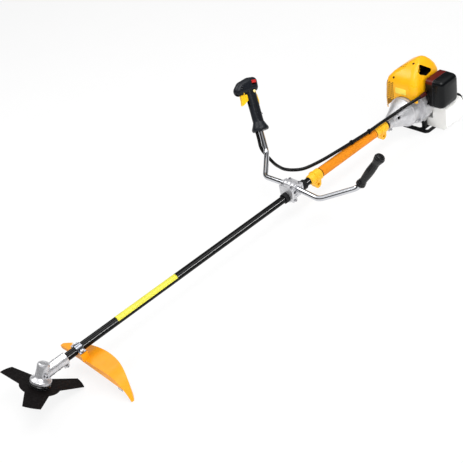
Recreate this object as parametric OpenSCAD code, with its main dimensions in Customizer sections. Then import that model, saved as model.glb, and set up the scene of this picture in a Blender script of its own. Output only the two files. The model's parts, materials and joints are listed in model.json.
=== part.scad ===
// Petrol brush cutter with a straight shaft, bull-horn handles and a three-tooth blade.
// X runs forward along the shaft, Y to the operator's left and Z up.
// The origin is the middle of the engine stand's foot, on the ground.

/* [Shaft] */
// Outer diameter of the shaft tube
tube_d = 26; // [24:0.5:28]
// Wall of the shaft tube
tube_wall = 1.5; // [1:0.1:2]
// Length of tube that shows between the gearbox and the clutch housing
tube_span = 1444; // [1300:1:1550]
// Diameter of the drive shaft inside the tube
drive_d = 8; // [7:0.5:9]
// Length of each bush that carries the drive shaft
bush_len = 30; // [20:1:40]
// Number of bushes along the tube
bush_count = 5; // [3:1:7]

/* [Cutting head] */
// Diameter of the blade
blade_d = 255; // [230:1:260]
// Thickness of the blade
blade_t = 1.6; // [1.4:0.1:3]
// Bore of the blade
blade_bore = 25.4; // [20:0.1:26]
// Radius of the blade's hub, between the teeth
blade_hub_r = 58; // [50:1:64]
// Slope of the blade against the shaft
head_tilt = 32; // [28:1:34]
// Distance down the arbor from the gear apex to the blade
arbor_reach = 33; // [32:1:42]
// Distance from the gear apex back to the mouth of the gearbox
neck_reach = 84; // [80:1:92]
// Teeth on the arbor gear
gear_teeth = 19; // [19:1:20]
// Teeth on the pinion
pinion_teeth = 14; // [14:1:15]
// Gear module at the outer end of the teeth
gear_module = 1.4; // [1.3:0.02:1.44]

/* [Guard] */
// Left end of the guard, from the shaft
guard_left = 205; // [180:1:215]
// Right end of the guard, from the shaft
guard_right = 92; // [70:1:100]
// Thickness of the guard's sheet
guard_t = 3; // [2:0.1:4]
// Drop of the rear skirt below the guard's top
guard_skirt = 22; // [14:1:30]
// Gap from the gearbox mouth to the guard's clamp
guard_gap = 33; // [30:1:40]

/* [Handles] */
// Outer diameter of the handle bars
bar_d = 19; // [18:0.5:22]
// Wall of the handle bars
bar_wall = 1.5; // [1:0.1:2.5]
// Distance from the clutch housing to the handle bracket
handle_from_clutch = 503; // [480:1:560]
// Height of the bars above the shaft at the bracket
bar_rise = 30; // [30:1:38]
// Sideways reach of the bars to their first bend
bar_side = 126; // [115:1:140]
// Sideways reach of the bars to the foot of the grips
grip_side = 221; // [205:1:240]
// Length of the left grip
grip_len = 136; // [120:1:145]
// Length of the bracket along the shaft
bracket_len = 54; // [50:1:60]

/* [Throttle grip] */
// Half width of the throttle grip
throttle_r = 17; // [16:0.5:19]
// Width of the trigger
trigger_w = 11.6; // [8:0.1:12]

// Outer diameter of the throttle cable's sheath
cable_d = 12; // [8:0.5:12]

/* [Shaft sleeve] */
// Length of the padded sleeve behind the handles
sleeve_len = 295; // [250:1:320]
// Outer diameter of the padded sleeve
sleeve_d = 36; // [34:0.5:40]
// Length of the collars at both ends of the sleeve
collar_len = 55; // [45:1:62]
// Bore of the harness eye in each collar
eye_d = 11; // [8:0.5:13]

/* [Engine] */
// Distance from the stand's middle forward to the engine flange
flange_x = 60; // [50:1:75]
// Length of the clutch housing
clutch_len = 146; // [142:1:160]
// Cylinder bore
bore_d = 40; // [38:0.5:41]
// Piston stroke
stroke = 34; // [30:1:36]
// Inner diameter of the clutch drum
drum_d = 76; // [72:1:78]
// Outer radius of the fan housing
fan_r = 70; // [69:1:74]
// Highest point of the engine cover above the shaft
cover_top = 176; // [172:1:188]
// Wall of the moulded covers
shell_t = 2.5; // [2:0.1:3]
// Height of the blade's lowest sweep above the ground
ground_gap = 3; // [1:0.5:6]

/* [Hidden] */
$fn = 48;

// Clearances: a running fit, a seat between fixed pieces, and room round a moving piece
run_gap = 0.05;
seat_gap = 0.1;
free_gap = 0.4;

// Stations along the shaft
axis_h = arbor_reach * cos(head_tilt) + blade_d / 2 * sin(head_tilt) + blade_t + ground_gap;
clamp_x = flange_x + clutch_len;
mouth_x = clamp_x + tube_span;
apex_x = mouth_x + neck_reach;
rear_socket = 42;
front_socket = 33;
tube_rear_x = clamp_x - rear_socket;
tube_front_x = mouth_x + front_socket;
bracket_x = clamp_x + handle_from_clutch;
sleeve_x = clamp_x + 70;

cable_r = cable_d / 2;
cable_exit = 18;

// Front and rear of the filter box, and where the throttle cable enters it, from the engine flange
box_x = [-119, -20];
carb_cable_at = [box_x[1], 60, 64];

// Colours
BLACK = [0.08, 0.08, 0.09];
RUBBER = [0.12, 0.12, 0.12];
ALUMINIUM = [0.75, 0.76, 0.77];
STEEL = [0.6, 0.61, 0.63];
CHROME = [0.85, 0.86, 0.88];
ORANGE = [0.97, 0.55, 0.07];
YELLOW = [0.98, 0.72, 0.05];
WHITE = [0.93, 0.93, 0.91];
RED = [0.8, 0.08, 0.06];

// Frames: on the shaft axis, at the gear apex with Z up the arbor, and at the engine flange
module on_shaft(x = 0) translate([x, 0, axis_h]) children();
module on_head() translate([apex_x, 0, axis_h]) rotate([0, -head_tilt, 0]) children();
module on_engine() translate([flange_x, 0, axis_h]) children();

// A cylinder from x0 to x1 along X, and a ring of the same kind
module rod_x(x0, x1, r) translate([x0, 0, 0]) rotate([0, 90, 0]) cylinder(r = r, h = x1 - x0);
module ring_x(x0, x1, r, bore_r) difference() {
    rod_x(x0, x1, r);
    rod_x(x0 - 1, x1 + 1, bore_r);
}
// A solid of revolution about X from a list of [x, radius] points
module turned_x(points) rotate([0, 90, 0]) rotate_extrude() polygon([for (p = points) [p[1], p[0]]]);
// A cylinder along Y, centred
module pin_y(r, h) rotate([90, 0, 0]) cylinder(r = r, h = h, center = true);
// A socket-head screw whose head sits on Z = 0 and whose shank runs down
module screw(d, len) difference() {
    union() {
        cylinder(d = d * 1.7, h = d);
        translate([0, 0, -len]) cylinder(d = d, h = len);
    }
    translate([0, 0, d * 0.5]) cylinder(d = d * 0.9, h = d, $fn = 6);
}
// A rectangle with rounded corners, centred
module round_rect(x, y, r) {
    square([x - 2 * r, y], center = true);
    square([x, y - 2 * r], center = true);
    for (i = [-1, 1], j = [-1, 1]) translate([i * (x / 2 - r), j * (y / 2 - r)]) circle(r);
}

// Bevel gears: straight teeth on pitch cones that share one apex
shaft_angle = 90 - head_tilt;
gear_cone = atan2(sin(shaft_angle), pinion_teeth / gear_teeth + cos(shaft_angle));
pinion_cone = shaft_angle - gear_cone;
cone_dist = gear_module * gear_teeth / 2 / sin(gear_cone);
gear_backlash = 0.22;
function involute(a) = tan(a) * 180 / PI - a;
// Half the tooth's angle about the gear axis, at height h over the pitch cone
function tooth_half(teeth, cone, h) =
    let (rv = gear_module * teeth / 2 / cos(cone), ratio = min(1, rv * cos(20) / (rv + h)))
    (90 * cos(cone) / teeth - gear_backlash / rv / 4 * 180 / PI
        + involute(20) - involute(acos(ratio))) / cos(cone);
function cone_point(dist, cone, h, turn) = let (a = cone + atan(h / cone_dist))
    dist * [sin(a) * cos(turn), sin(a) * sin(turn), cos(a)];
// One gear with its apex at the origin, opening along +Z, and a tooth at the angle first
module bevel_teeth(teeth, cone, first, back_z) {
    heights = [-1.2, -0.7, -0.2, 0.3, 0.65, 0.95] * gear_module;
    n = len(heights);
    count = teeth * 2 * n;
    inner = cone_dist * 0.68;
    function ring(dist) = [for (k = [0 : teeth - 1], i = [0 : 2 * n - 1])
        let (h = heights[i < n ? i : 2 * n - 1 - i], half = tooth_half(teeth, cone, h))
        cone_point(dist, cone, h, first + k * 360 / teeth + (i < n ? -half : half))];
    tops = [[0, 0, back_z], [0, 0, inner * cos(cone + 5)]];
    faces = [for (i = [0 : count - 1]) let (j = (i + 1) % count) each [[i, j, count + i],
        [j, count + j, count + i], [2 * count, j, i], [2 * count + 1, count + i, count + j]]];
    polyhedron(concat(ring(cone_dist), ring(inner), tops), faces);
}

// Arbor sizes, measured up the arbor from the gear apex
arbor_r = 6;
arbor_tip_r = 5;
gear_hub_top = cone_dist * cos(gear_cone) + 6.5;
top_bearing = [arbor_tip_r, 13, 8];
low_bearing = [arbor_r, 16, 8];
top_bearing_z = gear_hub_top + 0.5;
low_bearing_z = -19;
cavity_r = cone_dist * sin(gear_cone) + gear_module * 0.95 + 0.9;
dome_r = cavity_r + 3;
dome_top = top_bearing_z + top_bearing[2] + 5;
flange_r = 31;
flange_bottom = low_bearing_z - 1;
thread_r = 5;
cup_drop = 12;
lower_flange_t = 4.5;
nut_h = 8;

module arbor_shaft() color(STEEL) on_head() {
    thread_end = -arbor_reach - blade_t - lower_flange_t - nut_h - 6;
    tip_z = top_bearing_z + top_bearing[2];
    rotate_extrude() polygon([[0, thread_end], [thread_r - 0.8, thread_end], [thread_r, thread_end + 1],
        [thread_r, 2 - arbor_reach], [arbor_r, 2 - arbor_reach], [arbor_r, gear_hub_top],
        [arbor_tip_r, gear_hub_top], [arbor_tip_r, tip_z - 0.6], [arbor_tip_r - 0.6, tip_z], [0, tip_z]]);
}

module arbor_gear() color(STEEL) on_head() difference() {
    union() {
        bevel_teeth(gear_teeth, gear_cone, 180, gear_hub_top - 2);
        translate([0, 0, gear_hub_top - 7]) cylinder(r = arbor_r + 3, h = 7);
    }
    cylinder(r = arbor_r + run_gap, h = 4 * gear_hub_top, center = true);
}

// The receiver that sits under the gearbox and centres the blade on its boss
module upper_flange() color(BLACK) on_head() {
    top = flange_bottom - 1.2;
    rim = flange_r - 1;
    groove = (top - 2.5 - arbor_reach) / 2;
    hub = arbor_r + run_gap;
    boss = blade_bore / 2 - seat_gap;
    low = -arbor_reach - blade_t + 0.3;
    rotate_extrude() polygon([[hub, top], [16, top], [16, top - 2.5], [rim - 1, top - 2.5],
        [rim, top - 3.5], [rim, groove + 2.2], [rim - 3, groove + 1], [rim - 3, groove - 1],
        [rim, groove - 2.2], [rim, 0.8 - arbor_reach], [rim - 1, -arbor_reach], [boss, -arbor_reach], [boss, low], [hub, low]]);
}

// One tooth of the blade, pointing along X before the blade's tips are rounded
module blade_tooth() {
    root = 36;
    tip = 10.8;
    over = blade_d / 2 * 1.03;
    polygon([[0, 0], blade_hub_r * [cos(root), -sin(root)], over * [cos(tip), -sin(tip)],
        over * [cos(tip), sin(tip)], blade_hub_r * [cos(root), sin(root)]]);
}

module cutting_blade() color(BLACK) on_head() translate([0, 0, -arbor_reach - blade_t])
    linear_extrude(blade_t) difference() {
        intersection() {
            union() {
                circle(blade_hub_r);
                for (k = [0 : 2]) rotate(50 + 120 * k) blade_tooth();
            }
            circle(d = blade_d, $fn = 96);
        }
        circle(d = blade_bore);
    }

module lower_flange() color(STEEL) on_head() {
    top = -arbor_reach - blade_t;
    rotate_extrude() polygon([[thread_r + seat_gap, top - lower_flange_t], [24, top - lower_flange_t],
        [27, top - 2], [27, top], [blade_bore / 2, top], [blade_bore / 2, top - 0.8],
        [thread_r + seat_gap, top - 0.8]]);
}

// The bowl on which the head slides along the ground
module glide_cup() color(STEEL) on_head() {
    top = -arbor_reach - blade_t - lower_flange_t;
    wall = 1.8;
    rotate_extrude() polygon([[thread_r + seat_gap, top - wall], [22, top - wall], [17.5, top - cup_drop],
        [19.5, top - cup_drop], [32, top - 2.5], [32, top - 0.6], [30, top], [thread_r + seat_gap, top]]);
}

module blade_nut() color(STEEL) on_head() {
    top = -arbor_reach - blade_t - lower_flange_t - 1.8;
    translate([0, 0, top - nut_h]) difference() {
        cylinder(r = 9.8, h = nut_h, $fn = 6);
        translate([0, 0, -1]) cylinder(r = thread_r + seat_gap, h = nut_h + 2);
    }
}

// Bearings in the gearbox neck, as distances behind the apex
pinion_bearing = [5, 13, 8];
pinion_back = cone_dist * cos(pinion_cone) + 3.5;
pinion_bearing_x = [for (k = [1, 2]) -pinion_back - 1.5 - k * (pinion_bearing[2] + 0.5)];
neck_r = 18;
clamp_screw_x = -neck_reach + 9;
clamp_screw_z = -tube_d / 2 - 7;

module gearbox_housing() color(ALUMINIUM) on_shaft(apex_x) difference() {
    union() {
        rotate([0, -head_tilt, 0]) rotate_extrude() polygon([[0, dome_top], [dome_r - 6, dome_top],
            [dome_r - 2, dome_top - 2], [dome_r, dome_top - 6], [dome_r, -3], [dome_r + 4, -7],
            [flange_r - 1, -11], [flange_r, -12.5], [flange_r, flange_bottom + 1],
            [flange_r - 1, flange_bottom], [0, flange_bottom]]);
        turned_x([[-neck_reach, 0], [-neck_reach, neck_r - 1], [-neck_reach + 1, neck_r],
            [-26, neck_r], [-20, neck_r + 1], [0, dome_r], [0, 0]]);
        // Ribs round the neck and the clamp's two lugs
        for (x = [-30, -50]) rod_x(x - 2, x + 2, neck_r + 1);
        translate([-neck_reach + 1, -9, clamp_screw_z - 5]) cube([17, 18, 14]);
        rotate([0, -head_tilt, 0]) translate([0, 0, 8]) rotate([90, 0, 0])
            cylinder(r = 6, h = 2 * dome_r + 2, center = true);
    }
    // Room for the gears, pockets for the bearings and a socket for the tube
    rotate([0, -head_tilt, 0]) {
        translate([0, 0, low_bearing_z - 2])
            cylinder(r = low_bearing[1] + seat_gap, h = low_bearing[2] + 2.1);
        translate([0, 0, low_bearing_z + low_bearing[2]])
            cylinder(r = cavity_r, h = top_bearing_z - low_bearing_z - low_bearing[2]);
        translate([0, 0, top_bearing_z - 1])
            cylinder(r = top_bearing[1] + seat_gap, h = top_bearing[2] + 1.3);
    }
    rod_x(pinion_bearing_x[1] - 0.3, -12, pinion_bearing[1] + seat_gap);
    rod_x(-neck_reach - 1, pinion_bearing_x[1] + 1, 11);
    rod_x(-neck_reach - 1, -neck_reach + front_socket + 0.5, tube_d / 2 + seat_gap);
    translate([-neck_reach - 1, -1, -neck_r - 20]) cube([24, 2, 24]);
    translate([clamp_screw_x, 0, clamp_screw_z]) pin_y(2.7, 40);
    rotate([0, -head_tilt, 0]) translate([0, dome_r - 8, 8]) rotate([-90, 0, 0]) cylinder(r = 4.1, h = 20);
}

// The pinion and its journal, whose bore takes the end of the drive shaft
module bevel_pinion() color(STEEL) on_shaft(apex_x) difference() {
    union() {
        rotate([0, -90, 0]) bevel_teeth(pinion_teeth, pinion_cone, 180 / pinion_teeth, pinion_back - 2);
        rod_x(-pinion_back - 1.5, -pinion_back + 6, 7);
        rod_x(pinion_bearing_x[1] - 1, -pinion_back, pinion_bearing[0]);
    }
    rod_x(pinion_bearing_x[1] - 2, -30, drive_d / 2 - 1 + run_gap);
}

// Clutch drum sizes, measured forward from the engine flange
drum_x = 2;
drum_len = 25;
drum_t = 2.5;
drum_journal_r = 7.5;
drum_bearing = [drum_journal_r, 16, 9];
drum_bearing_x = [37, 46.5];
journal_end = 74;

module drive_shaft() color(STEEL) {
    spigot = drive_d / 2 - 1;
    on_shaft() {
        rod_x(flange_x + journal_end + 1, apex_x + pinion_bearing_x[1] - 2.5, drive_d / 2);
        rod_x(flange_x + journal_end - 14, flange_x + journal_end + 2, spigot);
        rod_x(apex_x + pinion_bearing_x[1] - 3, apex_x - 32, spigot);
    }
}

module shaft_bushes() color(YELLOW) on_shaft() for (k = [0 : bush_count - 1]) {
    x = tube_rear_x + 40 + k * (tube_front_x - tube_rear_x - 80 - bush_len) / (bush_count - 1);
    ring_x(x, x + bush_len, tube_d / 2 - tube_wall - run_gap, drive_d / 2 + run_gap);
}

module shaft_tube() color(BLACK) on_shaft()
    ring_x(tube_rear_x, tube_front_x, tube_d / 2, tube_d / 2 - tube_wall);

// Every ball bearing as a plain ring: bearing = [bore radius, outer radius, width]
module bearing_x(x, b) ring_x(x, x + b[2], b[1], b[0] + run_gap);
module bearing_z(z, b) translate([0, 0, z]) difference() {
    cylinder(r = b[1], h = b[2]);
    translate([0, 0, -1]) cylinder(r = b[0] + run_gap, h = b[2] + 2);
}

module ball_bearings() color(STEEL) {
    on_head() {
        bearing_z(top_bearing_z, top_bearing);
        bearing_z(low_bearing_z, low_bearing);
    }
    on_shaft(apex_x) for (x = pinion_bearing_x) bearing_x(x, pinion_bearing);
    on_engine() {
        for (x = drum_bearing_x) bearing_x(x, drum_bearing);
        for (x = crank_bearing_x) bearing_x(x, crank_bearing);
    }
}

// Guard: one curved sheet whose left end bends down, with a lip in front and a skirt behind
guard_x = mouth_x - guard_gap;
guard_top = -tube_d / 2 - 16;
guard_bend_r = 95;
guard_clamp_len = 22;
guard_slant = 5.5;
guard_bolt_y = tube_d / 2 + 8.5;

// Cross section of the sheet, drawn as [Y, Z], at a given depth
module guard_section(depth) {
    bend_y = guard_left - guard_bend_r;
    translate([-guard_right, guard_top - depth]) square([guard_right + bend_y, depth]);
    intersection() {
        translate([bend_y, guard_top - guard_bend_r]) difference() {
            circle(guard_bend_r, $fn = 96);
            circle(guard_bend_r - depth, $fn = 96);
        }
        translate([bend_y, -axis_h + 0.5]) square([guard_bend_r + 1, guard_bend_r * 2]);
    }
}

// Plan of the guard, drawn as [X, Y] from its clamp, drawn in by an inset at the front and the rear
module guard_plan(front, rear) difference() {
    translate([-75, -guard_right]) square([80, guard_right + guard_left]);
    rotate(guard_slant) translate([-4 - front, -200]) square([60, 500]);
    difference() {
        translate([-200, -300]) square([220, 640]);
        translate([170, 72]) circle(240 - rear, $fn = 96);
    }
    translate([-62, -guard_right - 2]) rotate(40) square([60, 40], center = true);
}

// Everything under the guard's top, down to a line that drops towards the left end
module guard_front() difference() {
    guard_section(guard_bend_r - 1);
    polygon([[-300, -300], [-300, guard_top - 13], [-10, guard_top - 13], [guard_left - 14, 34 - axis_h],
        [guard_left + 5, 10 - axis_h], [guard_left + 5, -300]]);
}
// A piece of the guard: its section along Y and Z, cut to its plan
module guard_piece() intersection() {
    rotate([90, 0, 90]) translate([0, 0, -90]) linear_extrude(120) children(0);
    translate([0, 0, -axis_h]) linear_extrude(axis_h) children(1);
}

module blade_guard() color(ORANGE) on_shaft(guard_x) difference() {
    union() {
        guard_piece() {
            guard_section(guard_t);
            guard_plan(0, 0);
        }
        guard_piece() {
            guard_front();
            difference() {
                guard_plan(0, 0);
                guard_plan(guard_t, -20);
            }
        }
        guard_piece() {
            guard_section(guard_skirt);
            difference() {
                guard_plan(0, 0);
                guard_plan(-20, guard_t);
            }
        }
        // Foot that takes the clamp, under the tube
        translate([-guard_clamp_len, -guard_bolt_y - 6, guard_top - guard_t])
            cube([guard_clamp_len, 2 * guard_bolt_y + 12, -guard_top + guard_t - 1.5]);
    }
    rod_x(-90, 60, tube_d / 2 + seat_gap);
    for (y = [-1, 1]) translate([-guard_clamp_len / 2, y * guard_bolt_y, 0])
        cylinder(r = 2.7, h = 80, center = true);
}

module guard_clamp() color(STEEL) on_shaft(guard_x) difference() {
    strap = 2.5;
    union() {
        rod_x(-guard_clamp_len + 1, -1, tube_d / 2 + strap);
        translate([-guard_clamp_len + 1, -guard_bolt_y - 6, -1.2])
            cube([guard_clamp_len - 2, 2 * guard_bolt_y + 12, 3]);
    }
    rod_x(-90, 60, tube_d / 2 + seat_gap);
    translate([-90, -50, -101.2]) cube([120, 100, 100]);
    for (y = [-1, 1]) translate([-guard_clamp_len / 2, y * guard_bolt_y, 0])
        cylinder(r = 2.7, h = 80, center = true);
}

// The knife that trims a line cutter's line stands behind the guard's front wall
module line_knife() color(STEEL) on_shaft(guard_x) rotate([0, 0, guard_slant])
    translate([-4 - guard_t - run_gap - 1.5, guard_left - 55, 20 - axis_h]) cube([1.5, 18, 27]);

// Handle bars: one straight run to the side, one bend back and up, one bend into the grip
grip_back = 102;
grip_rise = 55;
bend_r = 32;
bar_drop = 8;
grip_dir = [-0.3, 0.489, 0.819] / norm([-0.3, 0.489, 0.819]);
grip_foot = [-grip_back, grip_side, grip_rise];
left_grip_z = -5;
bar_end = left_grip_z + grip_len - 5;
bar_points = [[0, 1, bar_rise], [0, bar_side, bar_rise - bar_drop], grip_foot - 18 * grip_dir,
    grip_foot + bar_end * grip_dir];
function unit(v) = v / norm(v);
// A rigid frame with its X, Y and Z along u, v and w
module frame(origin, u, v, w) multmatrix([[u[0], v[0], w[0], origin[0]], [u[1], v[1], w[1], origin[1]],
    [u[2], v[2], w[2], origin[2]], [0, 0, 0, 1]]) children();
module tube_ring(r, wall) difference() {
    circle(r);
    circle(r - wall);
}
module straight_tube(a, b, r, wall) {
    w = unit(b - a);
    u = unit(cross(w, [0.3, 0.2, 1]));
    frame(a, u, cross(w, u), w) linear_extrude(norm(b - a)) tube_ring(r, wall);
}
module elbow(before, corner, after, r, wall) {
    d0 = unit(corner - before);
    d1 = unit(after - corner);
    turn = acos(d0 * d1);
    centre = corner + unit(d1 - d0) * bend_r / cos(turn / 2);
    u = unit(corner - bend_r * tan(turn / 2) * d0 - centre);
    frame(centre, u, d0, cross(u, d0)) rotate_extrude(angle = turn)
        translate([bend_r, 0]) tube_ring(r, wall);
}
// How far a bend takes from the straight runs at point k
function bend_take(p, k) = k == 0 || k == len(p) - 1 ? 0
    : bend_r * tan(acos(unit(p[k] - p[k - 1]) * unit(p[k + 1] - p[k])) / 2);
module bent_tube(p, r, wall) {
    for (k = [0 : len(p) - 2]) {
        d = unit(p[k + 1] - p[k]);
        straight_tube(p[k] + d * bend_take(p, k), p[k + 1] - d * bend_take(p, k + 1), r, wall);
    }
    for (k = [1 : len(p) - 2]) elbow(p[k - 1], p[k], p[k + 1], r, wall);
    // A plug inside the tube at each end of each bend joins the runs
    for (k = [1 : len(p) - 2], end = [-1, 1])
        translate(p[k] + unit(p[k + end] - p[k]) * bend_take(p, k)) sphere(r - wall + 0.3);
}

module handle_bars() color(CHROME) on_shaft(bracket_x) {
    bent_tube(bar_points, bar_d / 2, bar_wall);
    mirror([0, 1, 0]) bent_tube(bar_points, bar_d / 2, bar_wall);
}

// The grips stand on the bars' last run: X forward, Y to the inside or outside, Z up the grip
grip_fore = unit([1, 0, 0] - grip_dir[0] * grip_dir);
module on_left_grip() on_shaft(bracket_x)
    frame(grip_foot, grip_fore, cross(grip_dir, grip_fore), grip_dir) children();
right_dir = [grip_dir[0], -grip_dir[1], grip_dir[2]];
right_fore = unit([1, 0, 0] - right_dir[0] * right_dir);
module on_right_grip() on_shaft(bracket_x)
    frame([grip_foot[0], -grip_foot[1], grip_foot[2]], right_fore, cross(right_dir, right_fore), right_dir)
        children();

module left_grip() color(RUBBER) on_left_grip() translate([0, 0, left_grip_z]) {
    body = 12.4;
    low_knob = 16.5;
    top_knob = 18;
    hole = bar_d / 2 + seat_gap;
    z_top = grip_len;
    difference() {
        rotate_extrude() polygon([[0, 0], [low_knob - 3, 0], [low_knob, 4], [low_knob - 2, 12],
            [body, 24], [body + 1.5, grip_len * 0.5], [body, z_top - 34], [top_knob - 2, z_top - 22],
            [top_knob, z_top - 13], [top_knob - 3, z_top - 3], [top_knob - 10, z_top], [0, z_top]]);
        translate([0, 0, -1]) cylinder(r = hole, h = bar_end - left_grip_z + 1.5);
    }
}

// Throttle grip: round handle with a flared foot and a pistol head, split down the middle
throttle_z = 61;
throttle_flat = 3.5;
head_spheres = [[-20, 240, 17.5], [-18, 222, 18], [0, 238, 20], [34, 228, 19.5], [47, 215, 19]];
trigger_pivot = [34, 201];
lever_pivot = [-15, 201];
lever_w = 9.6;
switch_at = [-14, 233];
switch_size = [18, 10.5];
switch_travel = 5;
button_at = [-7, 204];
button_r = 5;

// The head's outer form, or its hollow when drawn in by a wall
module throttle_head(inset) hull() for (s = head_spheres) translate([s[0], 0, s[1]])
    sphere(r = s[2] - inset, $fn = 28);
// A cylinder with a flattened waist between two rounds
module waisted(z0, z1, r, flat) translate([0, 0, z0]) {
    for (x = [-flat, flat]) translate([x, 0, 0]) cylinder(r = r, h = z1 - z0);
    translate([-flat, -r, 0]) cube([2 * flat, 2 * r, z1 - z0]);
}

module throttle_body() difference() {
    union() {
        difference() {
            union() {
                waisted(throttle_z + 6, 212, throttle_r, throttle_flat);
                translate([0, 0, throttle_z]) rotate_extrude() polygon([[0, 0], [28, 0], [31, 4], [31, 10],
                    [26, 20], [throttle_r + 3, 34], [0, 34]]);
                throttle_head(0);
            }
            throttle_head(shell_t);
        }
        translate([grip_screw_at[1][0], 0, grip_screw_at[1][1]]) pin_y(5, 36);
    }
    // The bar's hole, the trigger's slot, the lever's slot, the switch's slot and the button's hole
    translate([0, 0, throttle_z - 1]) cylinder(r = bar_d / 2 + seat_gap, h = bar_end - throttle_z + 1.5);
    translate([3, -trigger_w / 2 - 2 * free_gap, 156]) cube([70, trigger_w + 4 * free_gap, 50]);
    translate([-40, -lever_w / 2 - 2 * free_gap, 153]) cube([31, lever_w + 4 * free_gap, 56]);
    translate([switch_at[0] - switch_size[0] / 2 - free_gap, 0, switch_at[1] - switch_travel - free_gap])
        cube([switch_size[0] + 2 * free_gap, 30, switch_size[1] + switch_travel + 2 * free_gap]);
    translate([button_at[0], 0, button_at[1]]) rotate([-90, 0, 0])
        cylinder(r = button_r + free_gap, h = 30);
    translate([trigger_pivot[0], 0, trigger_pivot[1]]) pin_y(2 + seat_gap, 28);
    translate([lever_pivot[0], 0, lever_pivot[1]]) pin_y(2 + seat_gap, 26);
    for (s = grip_screw_at) translate([s[0], 20, s[1]]) rotate([90, 0, 0]) cylinder(r = 2.2, h = 34);
    for (s = grip_screw_at) translate([s[0], 10, s[1]]) rotate([-90, 0, 0]) cylinder(r = 3.8, h = 20);
    translate([cable_exit, 0, throttle_z - 1]) cylinder(r = cable_r + seat_gap, h = 12);
}

grip_screw_at = [[-14.5, 120], [40, 222]];
module half_space(side) translate([-100, side > 0 ? seat_gap / 2 : -100 - seat_gap / 2, 0])
    cube([220, 100, 320]);
module throttle_case_left() color(BLACK) on_right_grip() intersection() {
    throttle_body();
    half_space(1);
}
module throttle_case_right() color(BLACK) on_right_grip() intersection() {
    throttle_body();
    half_space(-1);
}

// The trigger hangs from its pin and swings back into the grip
module throttle_trigger() color(YELLOW) on_right_grip() translate([trigger_pivot[0], 0, trigger_pivot[1]]) {
    pin_y(2, 27);
    rotate([90, 0, 0]) linear_extrude(trigger_w, center = true) difference() {
        union() {
            circle(6);
            polygon([[-16, -3], [11, -3], [12, -16], [15, -38], [11, -40], [2, -35], [-14, -25]]);
        }
        translate([29, -23]) circle(16.5);
    }
}

// The lever at the back that must be pressed before the trigger will move
module lockout_lever() color(YELLOW) on_right_grip() translate([lever_pivot[0], 0, lever_pivot[1]]) {
    pin_y(2, 25);
    rotate([90, 0, 0]) linear_extrude(lever_w, center = true) {
        circle(4.5);
        polygon([[-4.5, 0], [3, 0], [-2, -30], [-4, -44], [-7.5, -44], [-10, -30], [-8, -10]]);
    }
}

module stop_switch() color(RED) on_right_grip() translate([switch_at[0], 0, switch_at[1]]) {
    rib = 1.2;
    translate([-switch_size[0] / 2, 10, 0]) cube([switch_size[0], 11.5, switch_size[1]]);
    for (k = [1 : 3]) translate([-switch_size[0] / 2, 21, k * switch_size[1] / 4 - rib / 2])
        cube([switch_size[0], rib, rib]);
}

module lock_button() color(YELLOW) on_right_grip() translate([button_at[0], 0, button_at[1]])
    rotate([-90, 0, 0]) translate([0, 0, 8]) rotate_extrude()
        polygon([[0, 0], [button_r, 0], [button_r, 10.5], [button_r - 1.5, 12], [0, 12.6]]);

// Throttle cable: hand-chosen points from the grip's foot to the filter box, about the bracket
function grip_point(x, z) = [grip_foot[0], -grip_foot[1], grip_foot[2]] + x * right_fore + z * right_dir;
cable_foot = [[-91, -235, 64], [-94, -233, 44], [-99, -224, 26], [-99, -205, 12], [-90, -174, 8],
    [-77, -136, 15], [-66, -95, 25], [-75, -59, 29], [-105, -34, 27], [-170, -18, 26],
    [-250, -8, 26], [-350, 1, 26], [-405, 6, 27], [-458, 11, 31]];
// The last stretch over the clutch housing, about the engine flange
cable_tail = [[118, 19, 35], [80, 31, 46], [44, 48, 56], [10, 58, 62], carb_cable_at];
cable_points = concat([for (z = [6, -12, -32]) grip_point(cable_exit, throttle_z + z)], cable_foot,
    [for (p = cable_tail) p + [flange_x - bracket_x, 0, 0]]);
function spline(p0, p1, p2, p3, t) = 0.5 * (2 * p1 + (p2 - p0) * t + (2 * p0 - 5 * p1 + 4 * p2 - p3) * t * t
    + (3 * p1 - p0 - 3 * p2 + p3) * t * t * t);
// Smooth points through a route, with so many steps between each two
function smooth(p, steps) = [for (k = [0 : len(p) - 2], s = [0 : steps - 1]) spline(p[max(k - 1, 0)], p[k],
    p[k + 1], p[min(k + 2, len(p) - 1)], s / steps), p[len(p) - 1]];
// A round tube swept along a route as one closed polyhedron
module swept_tube(p, r, sides) {
    n = len(p);
    rings = [for (i = [0 : n - 1]) let (t = unit(p[min(i + 1, n - 1)] - p[max(i - 1, 0)]),
        u = unit(cross(t, [1, -1, 1])), v = cross(t, u)) each [for (k = [0 : sides - 1])
        p[i] + r * (cos(k * 360 / sides) * u + sin(k * 360 / sides) * v)]];
    sheet = [for (i = [0 : n - 2], k = [0 : sides - 1])
        let (a = i * sides + k, b = i * sides + (k + 1) % sides)
        each [[a, a + sides, b], [b, a + sides, b + sides]]];
    caps = [for (k = [1 : sides - 2]) each [[0, k, k + 1], [(n - 1) * sides, (n - 1) * sides + k + 1,
        (n - 1) * sides + k]]];
    polyhedron(rings, concat(sheet, caps));
}

cable_route = smooth(cable_points, 3);
module throttle_cable() color(BLACK) on_shaft(bracket_x) swept_tube(cable_route, cable_r, 10);

// Clips that hold the cable on the sleeve: a band round it, on a saddle that fits the sleeve
clip_x = [sleeve_x + 30, sleeve_x + sleeve_len * 0.4];
clip_len = 6;
clip_t = 1.8;
clip_gap = 0.8;
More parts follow.
